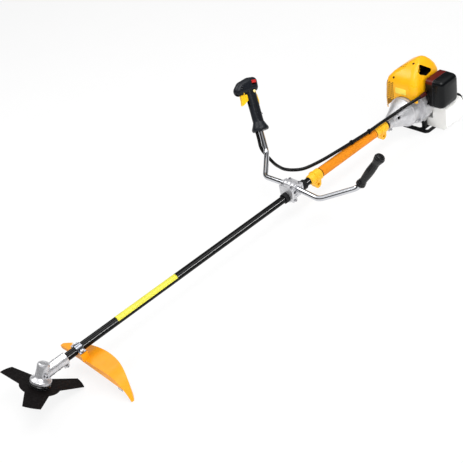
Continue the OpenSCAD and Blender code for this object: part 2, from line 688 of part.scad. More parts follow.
// The point of the cable at a station along the shaft
function route_at(x) = [for (k = [0 : len(cable_route) - 2])
    let (a = cable_route[k], b = cable_route[k + 1])
    if (a[0] >= x && b[0] < x) a + (b - a) * (a[0] - x) / (a[0] - b[0])][0];
module cable_ties() color(BLACK) on_shaft(bracket_x) for (x = clip_x) {
    p = route_at(x - bracket_x);
    r = norm([p[1], p[2]]);
    saddle_w = 1.5 * cable_r;
    translate([p[0] - clip_len / 2, 0, 0]) rotate([atan2(p[2], p[1]), 0, 0]) difference() {
        union() {
            translate([0, r, 0]) rod_x(0, clip_len, cable_r + clip_gap + clip_t);
            translate([0, 0, -saddle_w / 2]) cube([clip_len, r, saddle_w]);
        }
        translate([0, r, 0]) rod_x(-1, clip_len + 1, cable_r + clip_gap);
        rod_x(-1, clip_len + 1, sleeve_d / 2 + seat_gap);
    }
}

// Rubber: the handle bracket's sleeve and the stop ring in front of the clutch housing
bracket_sleeve_r = 17.5;
module rubber_sleeves() color(RUBBER) on_shaft() {
    ring_x(bracket_x - bracket_len / 2 - 34, bracket_x + bracket_len / 2 + 16, bracket_sleeve_r,
        tube_d / 2 + seat_gap);
    ring_x(clamp_x + 1, clamp_x + 7, sleeve_d / 2 - 1, tube_d / 2 + seat_gap);
}

// Handle bracket: a ribbed split clamp on the sleeve, with a saddle for the bars and a cap over them
saddle_y = 30;
cap_bolt = [19, 21];
pinch_z = -bracket_sleeve_r - 10;
module bar_channel() for (side = [-1, 1]) translate([0, 0, bar_rise])
    rotate([-side * 90 - side * atan(bar_drop / bar_side), 0, 0])
        translate([0, 0, -3]) cylinder(r = bar_d / 2 + seat_gap, h = saddle_y + 20);
module cap_bolt_holes() for (x = [-1, 1], y = [-1, 1]) translate([x * cap_bolt[0], y * cap_bolt[1], 0])
    cylinder(r = 2.7, h = 160);

module handle_base() color(ALUMINIUM) on_shaft(bracket_x) difference() {
    half = bracket_len / 2;
    union() {
        rod_x(-half, half, bracket_sleeve_r + 4.5);
        translate([-half, -saddle_y, 12]) cube([bracket_len, 2 * saddle_y, bar_rise - 12.2]);
        for (rib = [[-half, 4], [-5, 10], [half - 4, 4]]) translate([rib[0], -saddle_y, 0])
            cube([rib[1], 2 * saddle_y, 14]);
        translate([-10, -9, pinch_z - 6]) cube([20, 18, 16]);
    }
    rod_x(-half - 1, half + 1, bracket_sleeve_r + seat_gap);
    bar_channel();
    cap_bolt_holes();
    translate([-half - 1, -1.2, -bracket_sleeve_r - 30]) cube([bracket_len + 2, 2.4, 30]);
    translate([0, 0, pinch_z]) pin_y(2.7, 40);
    for (x = [-13.5, 13.5], y = [-1, 1]) translate([x - 6, y * 30 - 8, 15]) cube([12, 16, 12]);
}

module handle_cap() color(ALUMINIUM) on_shaft(bracket_x) difference() {
    half = bracket_len / 2;
    union() {
        translate([-half, -saddle_y, bar_rise + 0.2]) cube([bracket_len, 2 * saddle_y, 7]);
        intersection() {
            translate([0, 0, bar_rise]) pin_y(bar_d / 2 + 6, 2 * saddle_y);
            translate([-half, -saddle_y, bar_rise + 0.2]) cube([bracket_len, 2 * saddle_y, 30]);
        }
        for (y = [-24, -8, 8, 24]) translate([-9, y - 1.5, bar_rise + 5]) cube([18, 3, 12.5]);
    }
    bar_channel();
    cap_bolt_holes();
}

// Padded sleeve and its collars, each with a lug that carries a harness eye
eye_z = -sleeve_d / 2 - 13;
eye_x = 21;
eye_w = 20;
collar_x = [clamp_x + 8, sleeve_x + sleeve_len + 0.3];
collar_r = sleeve_d / 2 + 3;
module shaft_sleeve() color(ORANGE) on_shaft() difference() {
    turned_x([[sleeve_x, 0], [sleeve_x, sleeve_d / 2 - 2], [sleeve_x + 3, sleeve_d / 2],
        [sleeve_x + sleeve_len - 3, sleeve_d / 2], [sleeve_x + sleeve_len, sleeve_d / 2 - 2],
        [sleeve_x + sleeve_len, 0]]);
    rod_x(0, mouth_x, tube_d / 2 + seat_gap);
}

module collar_form(len) {
    turned_x([[0, 0], [0, collar_r - 3], [3, collar_r], [len - 24, collar_r], [len - 22, collar_r - 2],
        [len - 3, collar_r - 4], [len, collar_r - 6], [len, 0]]);
    // The lug below, rounded off, a bead round the collar and a boss on either side
    rotate([90, 0, 0]) linear_extrude(eye_w, center = true) {
        translate([eye_x, eye_z]) circle(14);
        polygon([[2, -10], [len - 6, -10], [eye_x + 13, eye_z - 4], [eye_x - 11, eye_z - 8]]);
    }
    rod_x(len - 28, len - 23, collar_r + 1.2);
    for (side = [-1, 1]) translate([eye_x, side * (collar_r - 3), 0]) pin_y(7, 9);
}

module sleeve_collars() color(YELLOW) on_shaft() for (x = collar_x) translate([x, 0, 0]) difference() {
    collar_form(x == collar_x[0] ? sleeve_x - collar_x[0] - 0.3 : collar_len);
    rod_x(-1, collar_len + 60, tube_d / 2 + seat_gap);
    translate([eye_x, 0, eye_z]) pin_y(eye_d / 2, 60);
}

// Clutch housing: tube clamp, neck with the drum's bearings, and a stepped bell
bell_r = 66;
clutch_bead_r = 58.5;
flange_bolt_r = 61;
clutch_screw_z = -tube_d / 2 - 11.5;
bell_bolts = [for (a = [45 : 90 : 315]) a];
module clutch_housing() color(ALUMINIUM) on_engine() difference() {
    union() {
        turned_x([[0, 0], [0, bell_r], [7, bell_r], [8, 55.5], [20, 55.5], [24, 57], [40, 57],
            [41, clutch_bead_r], [48, clutch_bead_r], [50, 55], [72, 46], [94, 35.5], [112, 29],
            [clutch_len - 24, 25.5], [clutch_len - 22, 22], [clutch_len - 1, 21.5], [clutch_len, 20.5],
            [clutch_len, 0]]);
        for (a = bell_bolts) rotate([a, 0, 0]) translate([0, flange_bolt_r, 0]) rod_x(0, 10, 8.5);
        // The clamp's lugs
        translate([clutch_len - 21, -8.5, clutch_screw_z - 5]) cube([18, 17, 16]);
    }
    // Room for the drum, then a hollow neck between the drum's bearings and the tube
    turned_x([[-1, 0], [-1, 50], [40, 50], [54, 46], [54, 21], [drum_x + drum_len + drum_t + 2, 21],
        [drum_x + drum_len + drum_t + 2, 0]]);
    rod_x(0, drum_bearing_x[1] + drum_bearing[2] + 0.3, drum_bearing[1] + seat_gap);
    turned_x([[58, 0], [58, 43], [72, 37], [92, 28], [99, 22], [99, 0]]);
    rod_x(0, clutch_len, 11);
    rod_x(clutch_len - rear_socket - 0.5, clutch_len + 1, tube_d / 2 + seat_gap);
    translate([clutch_len - 24, -1, -50]) cube([30, 2, 48]);
    translate([clutch_len - 12, 0, clutch_screw_z]) pin_y(2.7, 40);
    for (a = bell_bolts) rotate([a, 0, 0]) translate([0, flange_bolt_r, 0]) rod_x(-1, 12, 2.7);
    // Pocket in the neck's side
    rotate([27, 0, 0]) translate([99, 25.5, -5]) cube([11, 30, 10]);
}

module clutch_drum() color(STEEL) on_engine() difference() {
    web = drum_x + drum_len;
    turned_x([[drum_x, drum_d / 2], [drum_x, drum_d / 2 + drum_t], [web + drum_t, drum_d / 2 + drum_t],
        [web + drum_t, 14], [web + drum_t + 5, 11], [web + drum_t + 5, drum_journal_r],
        [journal_end, drum_journal_r], [journal_end, 0], [web, 0], [web, drum_d / 2]]);
    rod_x(journal_end - 16, journal_end + 1, drive_d / 2 - 1 + run_gap);
    for (a = [30 : 60 : 330]) rotate([a, 0, 0]) translate([0, 25, 0]) rod_x(web - 1, web + 8, 5);
}

// Clutch shoes: half rings that swing out on pins which stand on the flywheel
shoe_x = [4, 22];
shoe_pin = [0, 26, 0];
shoe_pin_r = 4;
module clutch_shoe(side) rotate([side > 0 ? 0 : 180, 0, 0]) difference() {
    intersection() {
        ring_x(shoe_x[0], shoe_x[1], drum_d / 2 - 1.6, 14);
        translate([0, -60, 2]) cube([60, 120, 60]);
    }
    // Room for the other shoe's pin end, and the spring's slot
    translate([shoe_x[0] - 1, -60, -1]) cube([shoe_x[1] - shoe_x[0] + 2, 42, 14]);
    translate([9, -60, 20]) cube([7, 120, 4]);
}
// An ear on each shoe reaches down to its pin
module shoe_with_ear(side) difference() {
    union() {
        clutch_shoe(side);
        rotate([side > 0 ? 0 : 180, 0, 0]) translate(shoe_pin) rod_x(shoe_x[0], shoe_x[1], 8);
    }
    rotate([side > 0 ? 0 : 180, 0, 0]) translate(shoe_pin) rod_x(0, 40, shoe_pin_r + run_gap);
}
module clutch_shoe_a() color(STEEL) on_engine() shoe_with_ear(1);
module clutch_shoe_b() color(STEEL) on_engine() shoe_with_ear(-1);

// Flywheel with its fan, in the fan housing behind the clutch
fan_len = 42;
wheel_x = [-36, -6];
wheel_r = 56;
vane_count = 16;
module flywheel() color(ALUMINIUM) on_engine() difference() {
    union() {
        turned_x([[wheel_x[0], 0], [wheel_x[0], 40], [-28, 42], [-22, wheel_r - 4], [-18, wheel_r - 4],
            [-18, 22], [wheel_x[1] + 2, 16], [wheel_x[1] + 2, 0]]);
        for (k = [0 : vane_count - 1]) rotate([k * 360 / vane_count, 0, 0])
            translate([-20, 24, -1.2]) cube([14, wheel_r - 24, 2.4]);
        for (side = [0, 180]) rotate([side, 0, 0]) translate(shoe_pin) {
            rod_x(-20, shoe_x[0] - 0.5, 9);
            rod_x(-20, shoe_x[1] + 1, shoe_pin_r);
        }
    }
    rod_x(-60, 20, crank_nose_r + run_gap);
}

module fan_housing() color(STEEL) on_engine() difference() {
    union() {
        rod_x(-fan_len, -0.1, fan_r);
        for (a = bell_bolts) rotate([a, 0, 0]) translate([0, flange_bolt_r, 0]) rod_x(-10, -0.1, 8);
        for (y = [-1, 1]) translate([-fan_len + 2, y * stand_bolt_y - stand_leg / 2, -fan_r + 4])
            cube([stand_leg, stand_leg, 14]);
    }
    rod_x(-fan_len - 1, -4, fan_r - 3);
    rod_x(-10, 1, 50);
    for (a = bell_bolts) rotate([a, 0, 0]) translate([0, flange_bolt_r, 0]) rod_x(-30, 1, 2.7);
    for (y = [-1, 1]) translate([-fan_len + 2 + stand_leg / 2, y * stand_bolt_y, -fan_r])
        cylinder(r = 2.7, h = 40, center = true);
}

// Crank train, measured back from the engine flange
crank_bearing = [7.5, 17.5, 11];
crank_bearing_x = [-58, -111];
crank_nose_r = 6;
case_x = [-114, -fan_len - 0.2];
case_r = 44;
case_cavity = [-99.5, -58.5];
crank_x = -79;
web_t = 9;
web_gap = 10;
web_r = 30;
rod_len = 62;
crank_r = stroke / 2;
deck_z = 48;
module crankcase() color(ALUMINIUM) on_engine() difference() {
    union() {
        rod_x(case_x[0], case_x[1], case_r);
        translate([crank_x - 32, -30, 0]) cube([64, 60, deck_z]);
        rod_x(case_x[1] - 4, case_x[1], fan_r - 4);
        rod_x(case_x[0], case_x[0] + 5, 52);
    }
    translate([case_x[0] - 1, -100, deck_z - 0.1]) cube([100, 200, 60]);
    rod_x(case_cavity[0], case_cavity[1], web_r + 3);
    for (x = crank_bearing_x) rod_x(x - 0.3, x + crank_bearing[2] + 0.3, crank_bearing[1] + seat_gap);
    rod_x(case_x[0] - 1, case_x[1] + 1, 12);
    rod_x(case_x[1] - 3, case_x[1] + 1, 30);
    translate([crank_x, 0, 0]) cylinder(r = bore_d / 2 + 3, h = 80);
    for (p = base_bolts) translate([crank_x + p[0], p[1], deck_z - 16]) cylinder(r = 2.7, h = 40);
}

module crankshaft() color(STEEL) on_engine() {
    front = crank_x + web_gap / 2;
    rear = crank_x - web_gap / 2;
    journal = crank_bearing[0];
    turned_x([[front, 0], [front, web_r], [front + web_t, web_r], [front + web_t, journal],
        [-44, journal], [-44, crank_nose_r], [-2, crank_nose_r], [-1, crank_nose_r - 1], [-1, 0]]);
    turned_x([[rear, 0], [rear, web_r], [rear - web_t, web_r], [rear - web_t, journal],
        [crank_bearing_x[1], journal], [case_x[0] - 3, journal - 1], [case_x[0] - 3, 0]]);
}

// The rod at the bottom of its stroke, with its crank pin
rod_w = web_gap - 0.8;
module connecting_rod() color(STEEL) on_engine() translate([crank_x, 0, -crank_r]) {
    rotate([0, 90, 0]) cylinder(r = 6, h = rod_w, center = true);
    rotate([90, 0, 90]) linear_extrude(rod_w, center = true) difference() {
        union() {
            circle(10.5);
            translate([0, rod_len]) circle(7.5);
            polygon([[-6, 6], [6, 6], [4, rod_len - 5], [-4, rod_len - 5]]);
        }
        circle(6 + run_gap);
        translate([0, rod_len]) circle(4.5 + run_gap);
    }
}

pin_z = rod_len - crank_r;
module piston() color(ALUMINIUM) on_engine() translate([crank_x, 0, pin_z]) {
    r = bore_d / 2 - 0.06;
    difference() {
        rotate_extrude() polygon([[0, 16], [r - 1, 16], [r, 15], [r, 13], [r - 0.8, 13], [r - 0.8, 11.5],
            [r, 11.5], [r, 9.5], [r - 0.8, 9.5], [r - 0.8, 8], [r, 8], [r, -16], [r - 2.5, -16],
            [r - 2.5, 10], [0, 10]]);
        rotate([0, 90, 0]) cylinder(r = 4.5 + run_gap, h = 60, center = true);
    }
    rotate([0, 90, 0]) cylinder(r = 4.5, h = 2 * r - 6, center = true);
}

// Cylinder: barrel with a skirt, cooling fins, an exhaust boss on the right and an inlet on the left
head_z = pin_z + stroke + 20;
base_bolts = [for (x = [-24, 24], y = [-24, 24]) [x, y]];
port_y = 42;
port_z = 70;
module cylinder_barrel() {
    translate([0, 0, deck_z - 20]) cylinder(r = bore_d / 2 + 2.8, h = 22);
    translate([0, 0, deck_z]) cylinder(r = bore_d / 2 + 6, h = head_z - deck_z + 6);
    translate([-32, -30, deck_z]) cube([64, 60, 5]);
    fin_count = 9;
    for (k = [1 : fin_count]) translate([0, 0, deck_z + k * (head_z + 12 - deck_z) / (fin_count + 0.5)])
        linear_extrude(2.2) round_rect(70, 76, 14);
    for (y = [-1, 1]) translate([-16, y > 0 ? 10 : -port_y, port_z - 13]) cube([32, port_y - 10, 26]);
    translate([0, 0, head_z]) cylinder(r = 13, h = 14);
}
module engine_cylinder() color(ALUMINIUM) on_engine() translate([crank_x, 0, 0]) difference() {
    cylinder_barrel();
    translate([0, 0, deck_z - 21]) cylinder(r = bore_d / 2, h = head_z - deck_z + 19);
    cylinder(r = 5 + seat_gap, h = 300);
    for (y = [-1, 1]) translate([0, y * port_y / 2, port_z]) pin_y(8, port_y);
    for (p = base_bolts) translate([p[0], p[1], deck_z - 1]) cylinder(r = 2.7, h = 7);
    for (p = base_bolts) translate([p[0], p[1], deck_z + 5]) cylinder(r = 5.2, h = 80);
}

module spark_plug() color(BLACK) on_engine() translate([crank_x, 0, head_z + 14]) {
    translate([0, 0, -13]) cylinder(r = 5, h = 14);
    cylinder(r = 9, h = 10, $fn = 6);
    translate([0, 0, 9]) cylinder(r = 5.5, h = 12);
    // Rubber cap and the start of its lead
    translate([0, 0, 14]) cylinder(r = 9, h = 22);
    translate([0, 0, 30]) rotate([90, 0, 0]) cylinder(r = 4, h = 22);
}

module ignition_coil() color(BLACK) on_engine() rotate([150, 0, 0]) translate([-34, wheel_r + 1.2, -14])
    cube([12, 7.8, 28]);

module muffler() color(STEEL) on_engine() translate([crank_x, -port_y - 0.3, port_z]) difference() {
    union() {
        translate([0, -15, 0]) rotate([90, 0, 0]) linear_extrude(30, center = true) round_rect(64, 64, 12);
        translate([0, -15, 0]) rotate([90, 0, 0]) linear_extrude(3, center = true) round_rect(68, 68, 14);
    }
    translate([0, -15, 0]) rotate([90, 0, 0]) linear_extrude(26, center = true) round_rect(60, 60, 10);
    pin_y(8, 10);
    translate([-16, -30, 16]) pin_y(6, 10);
}

// Carburettor on its insulator, inside the filter's box
carb_y = [port_y + 0.3, 80];
carb_z = port_z;
carb_lever_at = [crank_x + 2, 64];
module carburettor() color(ALUMINIUM) on_engine() translate([crank_x, 0, carb_z]) difference() {
    union() {
        translate([-19, carb_y[0], -14]) cube([38, 9, 28]);
        translate([-15, carb_y[0] + 9, -15]) cube([30, carb_y[1] - carb_y[0] - 9, 30]);
        translate([2, carb_lever_at[1], 0]) cylinder(r = 9, h = 20);
        translate([0, 68, -30]) cylinder(r = 11, h = 20);
    }
    translate([0, 60, 0]) pin_y(8, 60);
    translate([2, carb_lever_at[1], 12]) cylinder(r = 2.5 + run_gap, h = 20);
    // Hole for the choke's spindle
    translate([0, choke_at[1], choke_at[2] - carb_z]) rod_x(0, 20, 2 + run_gap);
}

module carburettor_lever() color(STEEL) on_engine()
        translate([carb_lever_at[0], carb_lever_at[1], carb_z]) {
    translate([0, 0, 13]) cylinder(r = 2.5, h = 12);
    translate([0, 0, 20.4]) linear_extrude(3) difference() {
        union() {
            circle(7);
            translate([-2.5, -18]) square([5, 18]);
            translate([0, -18]) circle(4.5);
        }
        translate([0, -18]) circle(1.8);
    }
}

// Filter box: the base round the carburettor, the element, and the gloss cover
box_z = [4, 116];
base_y = [57, 86];
cover_y = 131;
box_mid = [(box_x[0] + box_x[1]) / 2, (box_z[0] + box_z[1]) / 2];
box_size = [box_x[1] - box_x[0], box_z[1] - box_z[0]];
choke_at = [box_x[1], 70, 46];
module box_slab(y0, y1, inset, r) translate([box_mid[0], y1, box_mid[1]]) rotate([90, 0, 0])
    linear_extrude(y1 - y0) round_rect(box_size[0] - 2 * inset, box_size[1] - 2 * inset, r - inset);

module air_filter_base() color(BLACK) on_engine() difference() {
    box_slab(base_y[0], base_y[1], 0, 14);
    box_slab(base_y[0] - 1, carb_y[1] + 0.3, shell_t, 14);
    // Mouth of the carburettor, the choke's spindle and the cable's hole
    translate([crank_x, base_y[1], carb_z]) pin_y(9, 20);
    translate([0, choke_at[1], choke_at[2]]) rod_x(box_x[1] - 6, box_x[1] + 1, 2 + seat_gap);
    translate(carb_cable_at) rod_x(-6, 6, cable_r + 1);
    rod_x(-fan_len - 6, 1, fan_r + 0.8);
}

module choke_lever() color(BLACK) on_engine() translate(choke_at) {
    rod_x(crank_x + 4 - box_x[1], 0.5, 2);
    translate([0.4, 0, 0]) rotate([90, 0, 90]) linear_extrude(3) {
        circle(6);
        polygon([[-4, 0], [4, 0], [3, -22], [-3, -22]]);
        translate([0, -22]) circle(4);
    }
    translate([3, 0, -22]) rod_x(0, 6, 3);
}

module filter_element() color(RUBBER) on_engine() box_slab(base_y[1] + 0.3, base_y[1] + 24, 6, 14);

// Levels of the cover from its rim to its face: how far each is drawn in, and its distance from the face
filter_levels = [[1, 18], [3.5, 8], [8, 2.5], [15, 0]];
module filter_cover_form(inset, y0) hull() for (level = concat([[0, cover_y - y0]], filter_levels)) {
    r = 14;
    draw = level[0] + inset;
    y = level[0] == 0 ? y0 : cover_y - level[1] - inset;
    for (x = [box_x[0] + draw + r, box_x[1] - draw - r], z = [box_z[0] + draw + r, box_z[1] - draw - r])
        translate([x, y, z]) rotate([90, 0, 0]) cylinder(r = r, h = 0.5, $fn = 32);
}
module filter_cover() color(BLACK) on_engine() difference() {
    filter_cover_form(0, base_y[1] + 0.8);
    filter_cover_form(shell_t, base_y[1] - 5);
}

// Fuel tank: low body under the crankcase with a wing that rises on the left
tank_x = [-150, -fan_len - 6];
tank_z = [5 - floor(axis_h), -58];
tank_y = [-66, 122];
wing_top = -2;
tank_t = 2;
wing_y = 62;
cap_at = [tank_x[0], 92, -22];
module tank_section(inset) {
    corner = 16;
    wing_corner = 12;
    wing_z = [tank_z[0] + 9, wing_top];
    translate([(tank_y[0] + tank_y[1]) / 2, (tank_z[0] + tank_z[1]) / 2])
        round_rect(tank_y[1] - tank_y[0] - 2 * inset, tank_z[1] - tank_z[0] - 2 * inset, corner - inset);
    translate([(wing_y + tank_y[1]) / 2, (wing_z[0] + wing_z[1]) / 2])
        round_rect(tank_y[1] - wing_y - 2 * inset, wing_z[1] - wing_z[0] - 2 * inset, wing_corner - inset);
}
module fuel_tank() color(WHITE) on_engine() difference() {
    union() {
        translate([tank_x[0], 0, 0]) rotate([90, 0, 90])
            linear_extrude(tank_x[1] - tank_x[0]) tank_section(0);
        translate([0, cap_at[1], cap_at[2]]) rod_x(tank_x[0] - 10, tank_x[0] + 4, 15);
    }
    translate([tank_x[0] + tank_t, 0, 0]) rotate([90, 0, 90])
        linear_extrude(tank_x[1] - tank_x[0] - 2 * tank_t) tank_section(tank_t);
    translate([0, cap_at[1], cap_at[2]]) rod_x(tank_x[0] - 11, tank_x[0] + 6, 12);
}

module fuel_cap() color(BLACK) on_engine() translate([tank_x[0] - 10, cap_at[1], cap_at[2]]) {
    turned_x([[-10, 0], [-10, 17], [-8, 19], [7, 19], [7, 15.4], [-0.3, 15.4], [-0.3, 0]]);
    for (a = [0 : 30 : 330]) rotate([a, 0, 0]) translate([-7.5, 18, -1.5]) cube([13, 2.2, 3]);
}

// Stand: a foot plate on two legs that rise to the fan housing
stand_size = [120, 140];
stand_t = 4;
stand_bolt_y = 33;
stand_leg = 14;
stand_leg_x = flange_x - fan_len + 2;
stand_runner = 18;
stand_pad = [40, 10];
module engine_stand() color(BLACK) {
    difference() {
        union() {
            linear_extrude(stand_t) round_rect(stand_size[0], stand_size[1], 18);
            for (y = [-1, 1]) translate([stand_leg_x, y * stand_bolt_y - stand_leg / 2, 0])
                cube([stand_leg, stand_leg, axis_h - fan_r + 3.7]);
            translate([stand_size[0] / 2 - 8, -stand_size[1] / 2 + 16, 0])
                cube([4, stand_size[1] - 32, 8]);
            // Pads on the runners, on which the tank rests
            for (y = [-1, 1]) translate([-stand_pad[0], y * stand_bolt_y - stand_pad[1] / 2, 0])
                cube([stand_pad[0], stand_pad[1], axis_h + tank_z[0] - seat_gap]);
        }
        // Two runners carry the legs, with openings between and beside them
        translate([-4, 0, -1]) linear_extrude(stand_t + 2)
            round_rect(stand_size[0] - 32, 2 * stand_bolt_y - stand_runner, 8);
        for (y = [-1, 1]) translate([-4, y * (stand_bolt_y + stand_runner / 2 + 7), -1])
            linear_extrude(stand_t + 2) round_rect(stand_size[0] - 32, 14, 6);
        for (y = [-1, 1]) translate([stand_leg_x + stand_leg / 2, y * stand_bolt_y, axis_h - fan_r - 8])
            cylinder(r = 2.7, h = 60);
    }
}

// Engine cover: a domed shell over the cylinder, with a column on the right that screens the muffler
cover_low = 36;
cover_gap = 0.8;
cover_step_x = 17;
plug_window = [-46, 139];
cover_base = [-134, 36, -95, 50];
cover_mid = [-62, 0];
cover_shoulder = 94;
// How quickly the rear, front, right and left sides draw in towards the top
cover_round = [1, 1.6, 2.2, 1.2];
cover_corner = 24;
// One level of the dome: its height and its box, drawn in towards the middle by the angle a
function cover_level(a) = concat([cover_shoulder + (cover_top - cover_shoulder) * sin(a)],
    [for (i = [0 : 3]) let (mid = cover_mid[floor(i / 2)])
        mid + (cover_base[i] * 0.95 - mid) * pow(cos(a), cover_round[i])]);
cover_levels = concat([concat([cover_low], cover_base)], [for (a = [0 : 15 : 75]) cover_level(a)],
    [cover_level(84)]);
module cover_form(inset, low) hull() for (level = cover_levels) {
    x0 = level[1] + inset;
    x1 = level[2] - inset;
    y0 = level[3] + inset;
    y1 = level[4] - inset;
    r = min(cover_corner, (x1 - x0) / 2.2, (y1 - y0) / 2.2);
    z = level[0] == cover_low ? low : level[0] - inset;
    for (x = [x0 + r, x1 - r], y = [y0 + r, y1 - r]) translate([x, y, z])
        cylinder(r = r, h = 0.5, $fn = 32);
}
// The column in front of the muffler, which reaches lower than the dome
module cover_column(inset) translate([0, 0, -6]) linear_extrude(cover_low + 8) intersection() {
    translate([(cover_base[0] + cover_base[1]) / 2, (cover_base[2] + cover_base[3]) / 2])
        round_rect(cover_base[1] - cover_base[0] - 2 * inset, cover_base[3] - cover_base[2] - 2 * inset,
            cover_corner - inset);
    translate([-50, cover_base[2]]) square([100, 15]);
}
module engine_cover() color(YELLOW) on_engine() difference() {
    union() {
        difference() {
            union() {
                cover_form(0, cover_low);
                cover_column(0);
            }
            cover_form(shell_t, cover_low - 4);
            translate([0, 0, -1]) cover_column(shell_t);
        }
        // Screw posts that stand on the cylinder head
        intersection() {
            cover_form(1, cover_low);
            for (x = [-22, 22]) translate([crank_x + x, 0, head_z + 14.3]) cylinder(r = 6, h = 100);
        }
    }
    // Grille in front of the muffler
    for (row = [0 : 12], k = [0 : 2]) translate([0, cover_base[2] + 10 + k * 7, 3 + row * 8 + (k % 2) * 4])
        rod_x(10, 60, 2);
    // Opening for the plug cap, and room for the fan, the starter and the carburettor
    translate([plug_window[0], 50, plug_window[1]]) rotate([90, 0, 0]) linear_extrude(60, center = true)
        hull() for (c = [[24, 2, 9], [10, 13, 9], [-26, -12, 7], [-2, -15, 7]])
            translate([c[0], c[1]]) circle(c[2], $fn = 32);
    rod_x(-fan_len - 6, cover_step_x, fan_r + cover_gap);
    rod_x(cover_step_x - 1, cover_base[1] + 1, clutch_bead_r + cover_gap);
    rod_x(-200, case_x[0] + 8, starter_r + cover_gap);
    translate([crank_x - 30, 30, cover_low - 10]) cube([60, 40, 70]);
    translate([crank_x - 34, -110, cover_low + 8]) cube([34, 40, 40]);
}

// Recoil starter behind the crankcase: its rope leaves to the left
starter_x = [-158, case_x[0] - 0.3];
starter_r = 54;
rope_r = 1.7;
reel_r = 24;
reel_x = [-150, -128];
rope_x = (reel_x[0] + reel_x[1]) / 2;
guide_y = 62;
post_r = 6;
module starter_housing() color(BLACK) on_engine() difference() {
    union() {
        difference() {
            turned_x([[starter_x[0], 0], [starter_x[0], starter_r - 8], [starter_x[0] + 8, starter_r],
                [starter_x[1], starter_r], [starter_x[1], 0]]);
            turned_x([[starter_x[0] + 3, 0], [starter_x[0] + 3, starter_r - 9],
                [starter_x[0] + 9, starter_r - 3], [starter_x[1] + 1, starter_r - 3],
                [starter_x[1] + 1, 0]]);
        }
        rod_x(starter_x[0] + 1, reel_x[1] - 1, post_r);
        translate([rope_x, (40 + guide_y) / 2, reel_r]) pin_y(7, guide_y - 40);
    }
    translate([rope_x, guide_y, reel_r]) pin_y(rope_r + 1.2, 60);
    for (a = [0 : 30 : 330]) rotate([a, 0, 0]) translate([starter_x[0] - 1, 26, -3]) cube([6, 14, 6]);
}

module starter_reel() color(WHITE) on_engine() difference() {
    turned_x([[reel_x[0], 0], [reel_x[0], 36], [reel_x[0] + 3, 36], [rope_x - 3, reel_r - rope_r - 0.4],
        [rope_x + 3, reel_r - rope_r - 0.4], [reel_x[1] - 3, 36], [reel_x[1], 36], [reel_x[1], 0]]);
    rod_x(reel_x[0] - 1, reel_x[1] + 1, post_r + run_gap);
}

module starter_handle() color(BLACK) on_engine() translate([rope_x, guide_y + 0.5, reel_r]) {
    rotate([-90, 0, 0]) rotate_extrude() polygon([[0, 0], [7, 0], [9, 4], [7, 12], [0, 12]]);
    translate([0, 17, 0]) rod_x(-9, 9, 6.5);
    for (x = [-9, 9]) translate([x, 17, 0]) sphere(6.5);
}

module starter_rope() color(WHITE) on_engine() translate([rope_x, (guide_y + 0.3) / 2 + 1, reel_r])
    pin_y(rope_r, guide_y - 2);

// All socket-head screws: gearbox, guard, handle bracket, collars, clutch, cylinder and throttle grip
module socket_screws() color(STEEL) {
    on_shaft(apex_x + clamp_screw_x) translate([0, 9.2, clamp_screw_z]) rotate([-90, 0, 0]) screw(5, 17);
    on_head() translate([0, dome_r + 1.3, 8]) rotate([-90, 0, 0]) screw(8, 3);
    on_shaft(guard_x - guard_clamp_len / 2) for (y = [-1, 1])
        translate([0, y * guard_bolt_y, 2]) screw(5, 28);
    on_shaft(bracket_x) {
        for (x = [-1, 1], y = [-1, 1])
            translate([x * cap_bolt[0], y * cap_bolt[1], bar_rise + 7.4]) screw(5, 24);
        translate([0, 9.2, pinch_z]) rotate([-90, 0, 0]) screw(5, 17);
    }
    on_engine() {
        translate([clutch_len - 12, 8.7, clutch_screw_z]) rotate([-90, 0, 0]) screw(5, 16);
        for (a = bell_bolts) rotate([a, 0, 0])
            translate([10.2, flange_bolt_r, 0]) rotate([0, 90, 0]) screw(5, 13.8);
        for (p = base_bolts) translate([crank_x + p[0], p[1], deck_z + 5.2]) screw(5, 18);
    }
    on_right_grip() for (s = grip_screw_at) translate([s[0], 10.2, s[1]]) rotate([-90, 0, 0]) screw(4, 18);
    for (y = [-1, 1]) translate([stand_leg_x + stand_leg / 2, y * stand_bolt_y, axis_h - fan_r + 18.2])
        screw(5, 24);
}

cutting_blade();
arbor_shaft();
arbor_gear();
upper_flange();
lower_flange();
glide_cup();
blade_nut();
gearbox_housing();
ball_bearings();
bevel_pinion();
drive_shaft();
shaft_bushes();
shaft_tube();
blade_guard();
guard_clamp();
line_knife();
rubber_sleeves();
handle_base();
handle_cap();
handle_bars();
left_grip();
throttle_case_left();
throttle_case_right();
throttle_trigger();
lockout_lever();
stop_switch();
lock_button();
throttle_cable();
cable_ties();
shaft_sleeve();
sleeve_collars();
socket_screws();
clutch_housing();
clutch_drum();
clutch_shoe_a();
clutch_shoe_b();
fan_housing();
flywheel();
crankcase();
crankshaft();
connecting_rod();
piston();
engine_cylinder();
spark_plug();
ignition_coil();
muffler();
carburettor();
carburettor_lever();
choke_lever();
air_filter_base();
filter_element();
filter_cover();
fuel_tank();
fuel_cap();
engine_stand();
engine_cover();
starter_housing();
starter_reel();
starter_handle();
starter_rope();
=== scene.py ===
"""Looks of a petrol brush cutter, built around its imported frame. Lengths are metres unless noted."""

import json
import math

import bpy
from mathutils import Matrix, Vector
from mathutils.bvhtree import BVHTree


